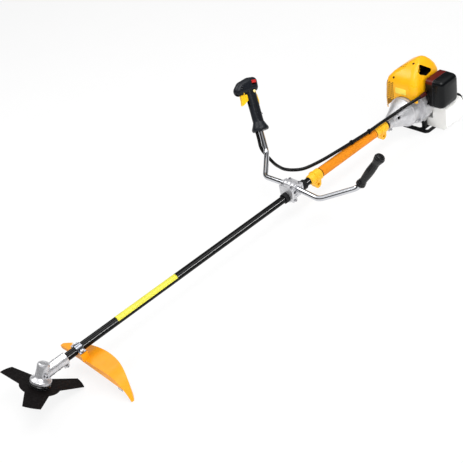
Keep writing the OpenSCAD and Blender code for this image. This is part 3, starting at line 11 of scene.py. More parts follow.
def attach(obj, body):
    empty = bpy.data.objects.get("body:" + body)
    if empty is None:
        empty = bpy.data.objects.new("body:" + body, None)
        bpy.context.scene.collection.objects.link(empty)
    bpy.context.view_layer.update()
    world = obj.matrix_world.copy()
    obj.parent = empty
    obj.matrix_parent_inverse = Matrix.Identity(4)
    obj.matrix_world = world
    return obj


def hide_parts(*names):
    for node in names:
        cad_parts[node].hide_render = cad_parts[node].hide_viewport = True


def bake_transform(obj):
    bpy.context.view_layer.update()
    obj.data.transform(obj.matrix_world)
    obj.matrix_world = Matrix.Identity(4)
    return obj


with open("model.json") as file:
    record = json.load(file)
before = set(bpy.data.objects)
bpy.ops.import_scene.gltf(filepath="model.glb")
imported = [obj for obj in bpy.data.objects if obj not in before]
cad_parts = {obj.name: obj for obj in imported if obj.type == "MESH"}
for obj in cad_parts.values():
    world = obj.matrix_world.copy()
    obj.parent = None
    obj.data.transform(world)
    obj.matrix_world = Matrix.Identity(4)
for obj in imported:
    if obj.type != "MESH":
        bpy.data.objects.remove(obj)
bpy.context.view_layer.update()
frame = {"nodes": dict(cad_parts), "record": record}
nodes = frame["nodes"]
record = frame["record"]
MM = 0.001

# Camera, found from the photograph: the shaft, the blade's tips and the handles fix it
CAMERA_AT = Vector((2.1676, 1.7153, 1.6456))
CAMERA_RIGHT = Vector((-0.7207, 0.6661, -0.1924))
CAMERA_UP = Vector((-0.5217, -0.3383, 0.7831))
CAMERA_LENS = 62.4
CAMERA_SENSOR = 36
CAMERA_CLIP = (0.05, 100)


def make_camera():
    data = bpy.data.cameras.new("camera")
    data.sensor_width = CAMERA_SENSOR
    data.lens = CAMERA_LENS
    data.clip_start, data.clip_end = CAMERA_CLIP
    camera = bpy.data.objects.new("camera", data)
    bpy.context.scene.collection.objects.link(camera)
    back = CAMERA_RIGHT.cross(CAMERA_UP).normalized()
    turn = Matrix((CAMERA_RIGHT, CAMERA_UP, back)).transposed().to_4x4()
    camera.matrix_world = Matrix.Translation(CAMERA_AT) @ turn
    bpy.context.scene.camera = camera


make_camera()

# Throttle cable: the route from the grip's foot, round the right bar, along the padded sleeve and
# into the filter base, in millimetres
CABLE_D = 0.012
CABLE_POINTS = [
    (604.1, -256.5, 214.7), (609.5, -247.7, 199.9), (615.5, -238.0, 183.5), (618, -235, 164.2),
    (615, -233, 144.2), (610, -224, 126.2), (610, -205, 112.2), (619, -174, 108.2), (632, -136, 115.2),
    (643, -95, 125.2), (634, -59, 129.2), (604, -34, 127.2), (539, -18, 126.2), (459, -8, 126.2),
    (359, 1, 126.2), (304, 6, 127.2), (251, 11, 131.2), (178, 19, 135.2), (140, 31, 146.2), (104, 48, 156.2),
    (70, 58, 162.2), (40, 60, 164.2)]
CABLE_STEP, CABLE_RIB, CABLE_DIP = 0.001, 0.003, 0.00012
CABLE_EASING, CABLE_SIDES = 14, 14
# The boot's stretch of the cable's path, in steps from its far end, its wall and how much each ring widens
BOOT_STRETCH = slice(-36, -6, 3)
BOOT_WALL, BOOT_WIDENS, BOOT_SIDES = 0.0006, 0.0002, 20


def spline(points, steps):
    """A smooth line through the points, with so many steps between each two."""
    last = len(points) - 1
    line = []
    for k in range(last):
        a, b = points[max(k - 1, 0)], points[k]
        c, d = points[k + 1], points[min(k + 2, last)]
        for step in range(steps):
            t = step / steps
            line.append(0.5 * (2 * b + (c - a) * t + (2 * a - 5 * b + 4 * c - d) * t ** 2
                               + (3 * b - a - 3 * c + d) * t ** 3))
    return line + [points[last]]


def even(line, gap):
    """The same line with its points at even distances."""
    lengths = [0.0]
    for a, b in zip(line, line[1:]):
        lengths.append(lengths[-1] + (b - a).length)
    count = round(lengths[-1] / gap)
    result = []
    k = 0
    for i in range(count + 1):
        target = lengths[-1] * i / count
        while k < len(line) - 2 and lengths[k + 1] < target:
            k += 1
        share = (target - lengths[k]) / (lengths[k + 1] - lengths[k])
        result.append(line[k].lerp(line[k + 1], min(share, 1.0)))
    return result


def relax(line, rounds):
    """The line with its sharpest bends eased and its ends kept."""
    for _ in range(rounds):
        eased = [a * 0.25 + b * 0.5 + c * 0.25 for a, b, c in zip(line, line[1:], line[2:])]
        line = [line[0], *eased, line[-1]]
    return line


def band_faces(levels, count):
    """Faces between closed rings of points, each ring listed after the one before it."""
    faces = []
    for level in range(levels - 1):
        for k in range(count):
            a, b = level * count + k, level * count + (k + 1) % count
            faces.append((a, b, b + count, a + count))
    return faces


def tube(path, radii, sides):
    """Rings of points and faces round a path, without twist, with both ends closed."""
    verts = []
    side = (path[1] - path[0]).orthogonal().normalized()
    last = len(path) - 1
    for i, point in enumerate(path):
        along = (path[min(i + 1, last)] - path[max(i - 1, 0)]).normalized()
        side = (side - along * side.dot(along)).normalized()
        up = along.cross(side)
        for k in range(sides):
            angle = math.tau * k / sides
            verts.append(point + radii[i] * (math.cos(angle) * side + math.sin(angle) * up))
    faces = band_faces(len(path), sides)
    faces.append(tuple(reversed(range(sides))))
    faces.append(tuple(range(last * sides, (last + 1) * sides)))
    return verts, faces


def new_mesh(name, verts, faces):
    mesh = bpy.data.meshes.new(name)
    mesh.from_pydata([tuple(v) for v in verts], [], faces)
    mesh.validate()
    mesh.shade_smooth()
    obj = bpy.data.objects.new(name, mesh)
    bpy.context.scene.collection.objects.link(obj)
    return obj


def make_cable():
    """The cable's corrugated sheath, and the boot where it enters the filter base."""
    route = relax(even(spline([Vector(p) * MM for p in CABLE_POINTS], 12), CABLE_RIB), CABLE_EASING)
    path = even(route, CABLE_STEP)
    crest = CABLE_D / 2
    steps = round(CABLE_RIB / CABLE_STEP)
    radii = [crest - (CABLE_DIP if i % steps == 1 else 0.0) for i in range(len(path))]
    cable = new_mesh("throttle_cable_sheath", *tube(path, radii, CABLE_SIDES))
    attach(cable, "machine")
    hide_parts("throttle_cable")
    boot_path = path[BOOT_STRETCH]
    boot_radii = [crest + BOOT_WALL + BOOT_WIDENS * k for k in range(len(boot_path))]
    boot = new_mesh("cable_boot", *tube(boot_path, boot_radii, BOOT_SIDES))
    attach(boot, "machine")
    return cable, boot


cable, cable_boot = make_cable()


# Colours and shader nodes


def srgb(red, green, blue):
    """A colour from its 0 to 255 screen values, as the linear values that shaders take."""
    values = [v / 255 for v in (red, green, blue)]
    return tuple(v / 12.92 if v <= 0.04045 else ((v + 0.055) / 1.055) ** 2.4 for v in values)


def shade(colour, factor):
    return (*[min(1.0, c * factor) for c in colour[:3]], 1.0)


class Tree:
    """A material's node tree with short calls to add and join nodes."""

    def __init__(self, name):
        self.material = bpy.data.materials.new(name)
        self.material.use_nodes = True
        self.nodes = self.material.node_tree.nodes
        self.links = self.material.node_tree.links
        self.shader = self.nodes["Principled BSDF"]
        self.place = self.add("ShaderNodeTexCoord").outputs["Object"]

    def add(self, kind, **values):
        node = self.nodes.new(kind)
        for key, value in values.items():
            setattr(node, key, value)
        return node

    def join(self, source, target):
        self.links.new(source, target)

    def noise(self, scale, detail=4.0, stretch=None, roughness=0.55):
        place = self.place
        if stretch is not None:
            mapping = self.add("ShaderNodeMapping")
            mapping.inputs["Scale"].default_value = stretch
            self.join(place, mapping.inputs["Vector"])
            place = mapping.outputs["Vector"]
        node = self.add("ShaderNodeTexNoise")
        node.inputs["Scale"].default_value = scale
        node.inputs["Detail"].default_value = detail
        node.inputs["Roughness"].default_value = roughness
        self.join(place, node.inputs["Vector"])
        return node.outputs["Fac"]

    def spots(self, scale):
        node = self.add("ShaderNodeTexVoronoi")
        node.inputs["Scale"].default_value = scale
        self.join(self.place, node.inputs["Vector"])
        return node.outputs["Distance"]

    def spread(self, value, low, high, start=0.3, end=0.7):
        node = self.add("ShaderNodeMapRange")
        for key, number in (("From Min", start), ("From Max", end), ("To Min", low), ("To Max", high)):
            node.inputs[key].default_value = number
        self.join(value, node.inputs["Value"])
        return node.outputs["Result"]

    def mix(self, factor, first, second):
        node = self.add("ShaderNodeMix", data_type="RGBA")
        self.join(factor, node.inputs["Factor"])
        for socket, value in ((node.inputs["A"], first), (node.inputs["B"], second)):
            if isinstance(value, tuple):
                socket.default_value = value
            else:
                self.join(value, socket)
        return node.outputs["Result"]

    def edges(self, radius, start=0.02, end=0.25):
        """1 along the solid's sharp edges and 0 on its faces, from normals rounded over a radius."""
        rounded = self.add("ShaderNodeBevel", samples=4)
        rounded.inputs["Radius"].default_value = radius
        geometry = self.add("ShaderNodeNewGeometry")
        dot = self.add("ShaderNodeVectorMath", operation="DOT_PRODUCT")
        self.join(rounded.outputs["Normal"], dot.inputs[0])
        self.join(geometry.outputs["Normal"], dot.inputs[1])
        return self.spread(dot.outputs["Value"], 1.0, 0.0, 1 - end, 1 - start)

    def bump(self, height, strength, distance, after=None):
        node = self.add("ShaderNodeBump")
        node.inputs["Strength"].default_value = strength
        node.inputs["Distance"].default_value = distance
        self.join(height, node.inputs["Height"])
        if after is not None:
            self.join(after, node.inputs["Normal"])
        return node.outputs["Normal"]

    def set(self, **values):
        for key, value in values.items():
            socket = self.shader.inputs[key.replace("_", " ")]
            if isinstance(value, bpy.types.NodeSocket):
                self.join(value, socket)
            else:
                socket.default_value = value


# Materials


def plastic(name, colour, rough, grain=0.0, coat=0.0, fade=0.08, grain_scale=1400, shine=0.5, edge=None):
    """Moulded plastic: slight colour drift, uneven gloss, a fine moulded grain and edges paler from wear; with
    an edge colour given, the edges take that colour as a painted highlight instead.
    """
    tree = Tree(name)
    drift = tree.noise(14, 3)
    base = tree.mix(tree.spread(drift, 0, 1), shade(colour, 1 - fade), shade(colour, 1 + fade))
    # Edge mask and colour: wear by default; a painted highlight when an edge colour is given
    wear_and_highlight_edges = tree.edges(0.0012 if edge is None else 0.003)
    wear_and_highlight_colour = shade(colour, 1.35) if edge is None else shade(edge, 1)
    colour_out = tree.mix(tree.spread(wear_and_highlight_edges, 0, 0.35 if edge is None else 0.7, 0, 1), base, wear_and_highlight_colour)
    gloss = tree.spread(tree.noise(60, 5), rough * 0.85, rough * 1.2)
    normal = tree.bump(tree.noise(grain_scale, 3), grain, 0.0004)
    tree.set(Base_Color=colour_out, Roughness=gloss, Normal=normal, Coat_Weight=coat, Coat_Roughness=0.12,
             Specular_IOR_Level=shine)
    return tree.material


def two_tone(name, low, high, start, end):
    """Moulded plastic whose colour changes over a height, from the lower colour to the upper one."""
    tree = Tree(name)
    split = tree.add("ShaderNodeSeparateXYZ")
    tree.join(tree.place, split.inputs["Vector"])
    step = tree.spread(split.outputs["Z"], 0, 1, start, end)
    mottle = tree.mix(tree.spread(tree.noise(40, 4), 0, 1), shade(high, 0.7), shade(high, 1.2))
    gloss = tree.spread(tree.noise(60, 5), 0.3, 0.42)
    tree.set(Base_Color=tree.mix(step, shade(low, 1), mottle), Roughness=gloss, Specular_IOR_Level=0.25,
             Normal=tree.bump(tree.noise(1400, 3), 0.1, 0.0004))
    return tree.material


def rubber(name, colour, rough=0.62, shine=0.2):
    """Rubber: matt, with a pitted skin and dusty patches."""
    tree = Tree(name)
    dust = tree.spread(tree.noise(35, 6), 0, 0.6, 0.45, 0.75)
    base = tree.mix(dust, shade(colour, 0.85), shade(colour, 1.7))
    gloss = tree.spread(tree.noise(90, 4), rough * 0.85, rough * 1.15)
    tree.set(Base_Color=base, Roughness=gloss, Normal=tree.bump(tree.spots(1600), 0.25, 0.0003),
             Specular_IOR_Level=shine)
    return tree.material


def cast_metal(name, colour, rough=0.38, pits=0.35):
    """Die-cast aluminium: fine sand texture, cloudy darker patches and brighter edges, partly wear and partly a
    painted highlight.
    """
    tree = Tree(name)
    cloud = tree.spread(tree.noise(45, 6), 0, 1, 0.35, 0.7)
    base = tree.mix(cloud, shade(colour, 0.82), shade(colour, 1.06))
    # Brighter edges: wear together with a painted highlight
    colour_out = tree.mix(tree.spread(tree.edges(0.0015), 0, 0.6, 0, 1), base, shade(colour, 1.3))
    gloss = tree.spread(tree.noise(260, 5), rough * 0.75, rough * 1.3)
    sand = tree.bump(tree.noise(1700, 6), pits, 0.0004)
    normal = tree.bump(tree.noise(240, 3), pits * 0.4, 0.0006, sand)
    tree.set(Base_Color=colour_out, Roughness=gloss, Normal=normal, Metallic=0.7)
    return tree.material


def turned_metal(name, colour, rough=0.25, stretch=(1, 1, 40)):
    """Machined steel: streaks along the tool's path and a little tarnish."""
    tree = Tree(name)
    streaks = tree.noise(90, 5, stretch)
    base = tree.mix(tree.spread(streaks, 0, 1), shade(colour, 0.8), shade(colour, 1.1))
    gloss = tree.spread(tree.noise(140, 5, stretch), rough * 0.7, rough * 1.4)
    tree.set(Base_Color=base, Roughness=gloss, Metallic=1.0, Normal=tree.bump(streaks, 0.08, 0.0003))
    return tree.material


def chrome(name):
    """Bright chrome with faint cloudiness and rubbing marks."""
    tree = Tree(name)
    haze = tree.noise(30, 6)
    base = tree.mix(tree.spread(haze, 0, 1), shade(CHROME, 0.93), shade(CHROME, 1.04))
    gloss = tree.spread(tree.noise(120, 6, (1, 1, 12)), 0.05, 0.16)
    tree.set(Base_Color=base, Roughness=gloss, Metallic=1.0, Normal=tree.bump(haze, 0.02, 0.0005))
    return tree.material


def paint(name, colour, rough=0.16, peel=0.12, chips_and_highlight=0.4, shine=0.2, coat=0.0):
    """Gloss paint on metal: orange peel, a clear coat and pale grey edges, partly bare metal from wear and
    partly a painted highlight.
    """
    tree = Tree(name)
    drift = tree.mix(tree.spread(tree.noise(20, 4), 0, 1), shade(colour, 0.8), shade(colour, 1.25))
    # Pale grey edges: bare metal from wear together with a painted highlight
    bare_edge_and_highlight = tree.spread(tree.edges(0.0009), 0, chips_and_highlight, 0.2, 1)
    base = tree.mix(bare_edge_and_highlight, drift, (0.32, 0.32, 0.33, 1.0))
    gloss = tree.spread(tree.noise(150, 5), rough * 0.7, rough * 1.6)
    normal = tree.bump(tree.noise(420, 3), peel, 0.0004)
    tree.set(Base_Color=base, Roughness=gloss, Normal=normal, Coat_Weight=coat, Coat_Roughness=0.08,
             Specular_IOR_Level=shine)
    return tree.material


def foam(name, colour):
    """Open-cell foam."""
    tree = Tree(name)
    cells = tree.spots(420)
    base = tree.mix(tree.spread(cells, 0, 1, 0.1, 0.6), shade(colour, 0.5), shade(colour, 1.3))
    tree.set(Base_Color=base, Roughness=0.9, Normal=tree.bump(cells, 0.8, 0.001))
    return tree.material


def tank_plastic(name, colour):
    """Milky blow-moulded plastic that lets some light through."""
    tree = Tree(name)
    cloud = tree.mix(tree.spread(tree.noise(20, 4), 0, 1), shade(colour, 0.95), shade(colour, 1.03))
    tree.set(Base_Color=cloud, Roughness=tree.spread(tree.noise(80, 4), 0.32, 0.48),
             Normal=tree.bump(tree.noise(500, 3), 0.1, 0.0004), Subsurface_Weight=0.25)
    tree.shader.inputs["Subsurface Radius"].default_value = (0.02, 0.02, 0.02)
    return tree.material


def braid(name, colour):
    """Braided cord: crossing strands along the line."""
    tree = Tree(name)
    strands = tree.add("ShaderNodeTexWave", wave_type="BANDS", bands_direction="DIAGONAL")
    strands.inputs["Scale"].default_value = 260
    strands.inputs["Distortion"].default_value = 1.5
    tree.join(tree.place, strands.inputs["Vector"])
    pattern = strands.outputs["Fac"]
    base = tree.mix(pattern, shade(colour, 0.7), shade(colour, 1.1))
    tree.set(Base_Color=base, Roughness=0.8, Normal=tree.bump(pattern, 0.6, 0.0004))
    return tree.material


CHROME = (0.62, 0.63, 0.66)
YELLOW = srgb(248, 178, 10)
ORANGE = srgb(242, 156, 20)
LOOKS = {
    "black_plastic": plastic("black_plastic", srgb(20, 21, 23), 0.4, grain=0.3, shine=0.15),
    # gloss_black's pale edge colour is a painted highlight along the rounded edges of its parts
    "gloss_black": plastic("gloss_black", srgb(10, 12, 14), 0.18, grain=0.02, shine=0.2,
                           edge=srgb(104, 106, 112)),
    "rubber": rubber("rubber", srgb(28, 28, 30), shine=0.15),
    "foam": foam("foam", srgb(70, 70, 72)),
    "cast_aluminium": cast_metal("cast_aluminium", (0.68, 0.68, 0.7), 0.4),
    "steel": turned_metal("steel", (0.56, 0.56, 0.58)),
    "plug": rubber("plug", srgb(22, 22, 24), 0.45),
    "chrome": chrome("chrome"),
    "black_paint": paint("black_paint", srgb(6, 6, 7), 0.14, peel=0.02, shine=0.12),
    "bush": plastic("bush", srgb(200, 190, 150), 0.5, grain=0.1),
    "orange_plastic": plastic("orange_plastic", ORANGE, 0.4, grain=0.1, shine=0.25),
    "yellow_plastic": plastic("yellow_plastic", YELLOW, 0.3, grain=0.06, shine=0.35),
    "white_plastic": tank_plastic("white_plastic", srgb(249, 249, 246)),
    "red_plastic": plastic("red_plastic", srgb(196, 38, 34), 0.3, grain=0.05, coat=0.2),
    "rope": braid("rope", srgb(225, 222, 214)),
    "grip_plastic": plastic("grip_plastic", srgb(22, 25, 31), 0.36, grain=0.25, shine=0.25),
    "grip_gloss": plastic("grip_gloss", srgb(15, 15, 17), 0.26, grain=0.1, shine=0.4),
    "shaft_paint": paint("shaft_paint", srgb(5, 5, 6), 0.12, peel=0.02, chips_and_highlight=0.2, shine=0.12),
    "head_metal": cast_metal("head_metal", (0.66, 0.66, 0.68), 0.3, 0.3),
    "blade_steel": paint("blade_steel", srgb(14, 11, 11), 0.5, peel=0.06, chips_and_highlight=0.12, shine=0.07),
    "oxide_plastic": two_tone("oxide_plastic", srgb(12, 11, 12), srgb(88, 14, 8), 0.198, 0.204),
    # The cable boot's dark red rubber; the same look paints the shade rings in the padded sleeve's gaps
    "boot_rubber": rubber("boot_rubber", srgb(64, 14, 10), 0.5),
    "sleeve_foam": plastic("sleeve_foam", srgb(222, 132, 14), 0.5, grain=0.4, grain_scale=900, shine=0.2),
    "collar_plastic": plastic("collar_plastic", srgb(243, 182, 36), 0.36, grain=0.1, shine=0.3),
    "lever_plastic": plastic("lever_plastic", srgb(250, 196, 14), 0.36, grain=0.1, shine=0.3),
    "flange_paint": paint("flange_paint", srgb(8, 8, 9), 0.08, peel=0.02, shine=0.5, coat=0.6),
    "rib_rubber": plastic("rib_rubber", srgb(16, 16, 18), 0.28, grain=0.05, shine=0.4),
    "clamp_steel": turned_metal("clamp_steel", (0.26, 0.27, 0.30), 0.3),
    "cream_plastic": plastic("cream_plastic", srgb(246, 222, 150), 0.35, grain=0.05, shine=0.3),
    # Near-black used as painted shade in the plug pocket and on the neck's stopper, and for the ring round the
    # lock button
    "pocket_black": plastic("pocket_black", srgb(6, 6, 7), 0.8, shine=0.05),
    "cable_sheath": plastic("cable_sheath", srgb(9, 9, 10), 0.25, grain=0.03, shine=0.2),
    "grille_shade": plastic("grille_shade", srgb(74, 32, 8), 0.6, shine=0.1),
    "lime_film": plastic("lime_film", srgb(216, 210, 72), 0.3, grain=0.03, shine=0.3),
    "pale_film": plastic("pale_film", srgb(250, 222, 84), 0.35, grain=0.03, shine=0.3),
}
# Nodes whose look differs from their slot's
NODE_LOOKS = {
    "throttle_case_left": "grip_plastic", "throttle_case_right": "grip_plastic", "left_grip": "grip_gloss",
    "cutting_blade": "blade_steel", "upper_flange": "flange_paint", "guard_clamp": "clamp_steel",
    "gearbox_housing": "head_metal", "shaft_tube": "shaft_paint", "shaft_sleeve": "sleeve_foam",
    "sleeve_collars": "collar_plastic", "throttle_trigger": "lever_plastic", "lockout_lever": "lever_plastic",
    "lock_button": "cream_plastic", "air_filter_base": "oxide_plastic"}


def dress(obj, look):
    obj.data.materials.clear()
    obj.data.materials.append(LOOKS[look])


# The frame's own nodes: smooth curved faces, keep sharp edges, and take their slot's finish
SHARP = math.radians(32)
WELD_GAP = 1e-6


def smooth_node(obj):
    mesh = obj.data
    if "custom_normal" in mesh.attributes:
        mesh.attributes.remove(mesh.attributes["custom_normal"])
    mesh.shade_smooth()
    weld = obj.modifiers.new("weld", "WELD")
    weld.merge_threshold = WELD_GAP
    split = obj.modifiers.new("split", "EDGE_SPLIT")
    split.split_angle = SHARP


for row in record["subparts"]:
    node = nodes[row["node"]]
    dress(node, NODE_LOOKS.get(row["node"], row["material_slot"]))
    smooth_node(node)
for piece, look in ((cable, "cable_sheath"), (cable_boot, "boot_rubber")):
    dress(piece, look)


def add_piece(name, verts, faces, look, body="machine"):
    """A new piece that rides on a body, with sharp edges kept."""
    obj = new_mesh(name, verts, faces)
    dress(obj, look)
    split = obj.modifiers.new("split", "EDGE_SPLIT")
    split.split_angle = SHARP
    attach(obj, body)
    return obj


# Starter rope: it runs from the reel out through the housing's eye
ROPE_X, ROPE_Z = -0.079, 0.12415
ROPE_START, ROPE_END = (ROPE_X, 0.002, ROPE_Z), (ROPE_X, 0.062, ROPE_Z)
ROPE_RINGS, ROPE_SIDES = 60, 12
ROPE_CREST, ROPE_HOLLOW = 0.0017, 0.0015


def make_rope():
    start, end = Vector(ROPE_START), Vector(ROPE_END)
    path = [start.lerp(end, i / ROPE_RINGS) for i in range(ROPE_RINGS + 1)]
    radii = [ROPE_CREST if i % 2 else ROPE_HOLLOW for i in range(ROPE_RINGS + 1)]
    rope = new_mesh("starter_rope_braid", *tube(path, radii, ROPE_SIDES))
    dress(rope, "rope")
    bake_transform(rope)
    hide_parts("starter_rope")


make_rope()


# Faces of the nodes, for pieces that lie on them. A ray starts REACH before the place it is meant for, and ends
# as far behind it. A ray at a bar starts from a point OUTSIDE its middle line
REACH = 0.06
OUTSIDE = 0.02


def surface(*names):
    """A search tree over the faces of some nodes."""
    verts, faces = [], []
    for name in names:
        mesh = nodes[name].data
        start = len(verts)
        verts += [v.co.copy() for v in mesh.vertices]
        faces += [[start + k for k in polygon.vertices] for polygon in mesh.polygons]
    return BVHTree.FromPolygons(verts, faces)


def laid(tree, point, towards, lift):
    """The place on a surface met along a direction, lifted off it a little; None where it is missed."""
    place, _, _, _ = tree.ray_cast(point - towards * REACH, towards, 2 * REACH)
    return place - towards * lift if place else None


# A rib's section, as shares of its width and height, and its size at the two ends where it runs out
RIB_SECTION = ((-0.5, -0.1), (-0.36, 0.7), (0, 1), (0.36, 0.7), (0.5, -0.1))
RIB_END = 0.15
RIB_STEPS = 16


def laid_strip(tree, points, across, towards, width, height):
    """A low rounded rib along points on a surface; None where it misses the surface."""
    verts, faces = [], []
    last = len(points) - 1
    for i, point in enumerate(points):
        swell = min(1, 3 * min(i, last - i) / last + RIB_END)
        for side, up in RIB_SECTION:
            place = laid(tree, point + across * side * width * swell, towards, height * up * swell)
            if place is None:
                return None
            verts.append(place)
    count = len(RIB_SECTION)
    for i in range(last):
        for k in range(count - 1):
            a = i * count + k
            faces.append((a, a + 1, a + count + 1, a + count))
    faces += [tuple(range(count)), tuple(reversed(range(last * count, (last + 1) * count)))]
    return verts, faces


def laid_ring(tree, centre, towards, radius, lift, count):
    """A ring of places on a surface round a centre, each lifted off it a little."""
    towards = Vector(towards).normalized()
    across = towards.orthogonal().normalized()
    over = towards.cross(across)
    turns = [math.tau * k / count for k in range(count)]
    return [laid(tree, Vector(centre) + radius * (math.cos(a) * across + math.sin(a) * over), towards, lift)
            for a in turns]


def laid_disc(tree, centre, towards, radius, lift, count=12):
    """Points and faces of a small crowned disc laid on a surface; None where it misses the surface."""
    ring = laid_ring(tree, centre, towards, radius, 0, count)
    crown = laid_ring(tree, centre, towards, radius * 0.8, lift, count)
    if None in ring + crown:
        return None
    faces = band_faces(2, count)
    for k in range(count):
        faces.append((count + k, count + (k + 1) % count, 2 * count))
    return ring + crown + [sum(crown, Vector()) / count], faces


def laid_collar(tree, centre, towards, inner, outer, height, count=24):
    """Points and faces of a raised ring laid on a surface, its edges sunk in; None where it misses it."""
    sunk = -0.0005
    profile = ((outer, sunk), (outer, height * 0.6), (outer - 0.0006, height), (inner + 0.0004, height),
               (inner, height * 0.6), (inner, sunk))
    rings = [laid_ring(tree, centre, towards, radius, lift, count) for radius, lift in profile]
    verts = [v for ring in rings for v in ring]
    if None in verts:
        return None
    return verts, band_faces(len(rings), count)


def bead_ring(tree, centre, across, over, bead, count=40, sides=8):
    """A round bead laid right round a bar-shaped surface; None where it misses the surface."""
    axis = across.cross(over)
    verts, faces = [], []
    for k in range(count):
        angle = math.tau * k / count
        out = math.cos(angle) * across + math.sin(angle) * over
        place = laid(tree, centre + out * OUTSIDE, -out, 0)
        if place is None:
            return None
        for j in range(sides):
            turn = math.tau * j / sides
            verts.append(place + bead * (math.cos(turn) * out + math.sin(turn) * axis))
    for k in range(count):
        here, there = k * sides, (k + 1) % count * sides
        for j in range(sides):
            n = (j + 1) % sides
            faces.append((here + j, here + n, there + n, there + j))
    return verts, faces


def gather(shapes):
    """One list of points and faces from several shapes, leaving out those that missed their surface."""
    verts, faces = [], []
    for shape_verts, shape_faces in filter(None, shapes):
        start = len(verts)
        verts += shape_verts
        faces += [tuple(start + k for k in face) for face in shape_faces]
    return verts, faces


def grid_faces(rows, columns):
    """Faces of a grid of points that is listed row by row, with so many cells each way."""
    wide = columns + 1
    return [(j * wide + i, j * wide + i + 1, (j + 1) * wide + i + 1, (j + 1) * wide + i)
            for j in range(rows) for i in range(columns)]


def thicken(obj, thickness):
    obj.modifiers.new("thick", "SOLIDIFY").thickness = thickness


AXIS_Z = 0.10015
cover = surface("engine_cover")
COVER_FRONT_X = 0.09
FRONT_TO_BACK = Vector((-1, 0, 0))

# Each eye is a dark disc laid on the cover, painted shade for the inside of a hole in the grille.
# Grille in front of the silencer, from its lowest eye at (y, z) in millimetres from the shaft's axis, with
# every second column half a step higher. A short field of smaller eyes, in metres, lies on the slope above it
GRILLE_ROWS, GRILLE_COLUMNS = 13, 6
GRILLE_FIRST, GRILLE_STEP = (-85, 3), (7, 8)
GRILLE_EYE_R = 0.0027
SLOPE_ROWS, SLOPE_COLUMNS = 3, 7
SLOPE_FIRST, SLOPE_STEP = (0.028, -0.068, 0.134), (0.009, 0.0065, 0.0045)
SLOPE_WAY = Vector((0, 0.58, -0.81))
SLOPE_EYE_R = 0.002
EYE_LIFT = 0.0002


def make_grille():
    eyes = []
    for row in range(GRILLE_ROWS):
        for column in range(GRILLE_COLUMNS):
            y = (GRILLE_FIRST[0] + GRILLE_STEP[0] * column) * MM
            z = (GRILLE_FIRST[1] + GRILLE_STEP[1] * (row + 0.5 * (column % 2))) * MM
            place = (COVER_FRONT_X, y, AXIS_Z + z)
            eyes.append(laid_disc(cover, place, FRONT_TO_BACK, GRILLE_EYE_R, EYE_LIFT))
    for column in range(SLOPE_COLUMNS):
        for row in range(SLOPE_ROWS):
            place = (SLOPE_FIRST[0] + SLOPE_STEP[0] * row, SLOPE_FIRST[1] + SLOPE_STEP[1] * column,
                     AXIS_Z + SLOPE_FIRST[2] + SLOPE_STEP[2] * column)
            eyes.append(laid_disc(cover, place, SLOPE_WAY, SLOPE_EYE_R, EYE_LIFT))
    add_piece("grille_eye_shade", *gather(eyes), "grille_shade")


# Screws that hold the cover, each at a place and along the cover's normal there, on a dark disc painted as the
# shade in its recessed seat
COVER_SCREWS = (((0.084, -0.050, 0.2225), (0.8, 0, 0.6)), ((0.031, 0.0025, 0.265), (0.48, 0, 0.87)))
SEAT_R, SEAT_LIFT, SEAT_SIDES = 0.0046, 0.0003, 20
SOCKET_R, HEAD_R, HEAD_HEIGHT, HEAD_SIDES = 0.0011, 0.0026, 0.0009, 18


def make_cover_screws():
    seats, heads = [], []
    for place, normal in COVER_SCREWS:
        towards = -Vector(normal)
        seats.append(laid_disc(cover, place, towards, SEAT_R, SEAT_LIFT, SEAT_SIDES))
        heads.append(laid_collar(cover, place, towards, SOCKET_R, HEAD_R, HEAD_HEIGHT, HEAD_SIDES))
    add_piece("cover_screw_seat_shade", *gather(seats), "grille_shade")
    add_piece("cover_screw_heads", *gather(heads), "black_paint")


# Bare pale film where the cover has its plate: a rectangle with rounded corners
PLATE_Y, PLATE_Z, PLATE_CORNER = (-0.038, 0.010), (0.167, 0.190), 0.004
PLATE_ROWS, PLATE_COLUMNS = 8, 14
PLATE_LIFT, PLATE_THICK = 0.0003, 0.0002


def between(ends, share):
    return ends[0] + (ends[1] - ends[0]) * share


def make_plate():
    points = []
    for j in range(PLATE_ROWS + 1):
        for i in range(PLATE_COLUMNS + 1):
            y, z = between(PLATE_Y, i / PLATE_COLUMNS), between(PLATE_Z, j / PLATE_ROWS)
            near_y = min(max(y, PLATE_Y[0] + PLATE_CORNER), PLATE_Y[1] - PLATE_CORNER)
            near_z = min(max(z, PLATE_Z[0] + PLATE_CORNER), PLATE_Z[1] - PLATE_CORNER)
            off = Vector((y - near_y, z - near_z))
            if off.length > PLATE_CORNER:
                off *= PLATE_CORNER / off.length
            place = Vector((COVER_FRONT_X, near_y + off.x, near_z + off.y))
            points.append(laid(cover, place, FRONT_TO_BACK, PLATE_LIFT))
    if None in points:
        raise ValueError("the plate misses the cover")
    film = add_piece("cover_plate", points, grid_faces(PLATE_ROWS, PLATE_COLUMNS), "pale_film")
    thicken(film, PLATE_THICK)


# Bare film where the shaft has its label: its two ends along the shaft, and its two edges as angles round the
# shaft from +Y towards +Z
FILM_X = (1.233, 1.466)
FILM_TURN = (math.radians(20), math.radians(205))
FILM_ROWS, FILM_COLUMNS = 30, 24
FILM_THICK = 0.0002


def make_shaft_film():
    shaft = surface("shaft_tube")
    points = []
    for i in range(FILM_ROWS + 1):
        centre = Vector((between(FILM_X, i / FILM_ROWS), 0, AXIS_Z))
        for k in range(FILM_COLUMNS + 1):
            angle = between(FILM_TURN, k / FILM_COLUMNS)
            out = Vector((0, math.cos(angle), math.sin(angle)))
            points.append(laid(shaft, centre + out * OUTSIDE, -out, FILM_THICK))
    if None in points:
        raise ValueError("the film misses the shaft")
    film = add_piece("shaft_film", points, grid_faces(FILM_ROWS, FILM_COLUMNS), "lime_film")
    thicken(film, FILM_THICK)


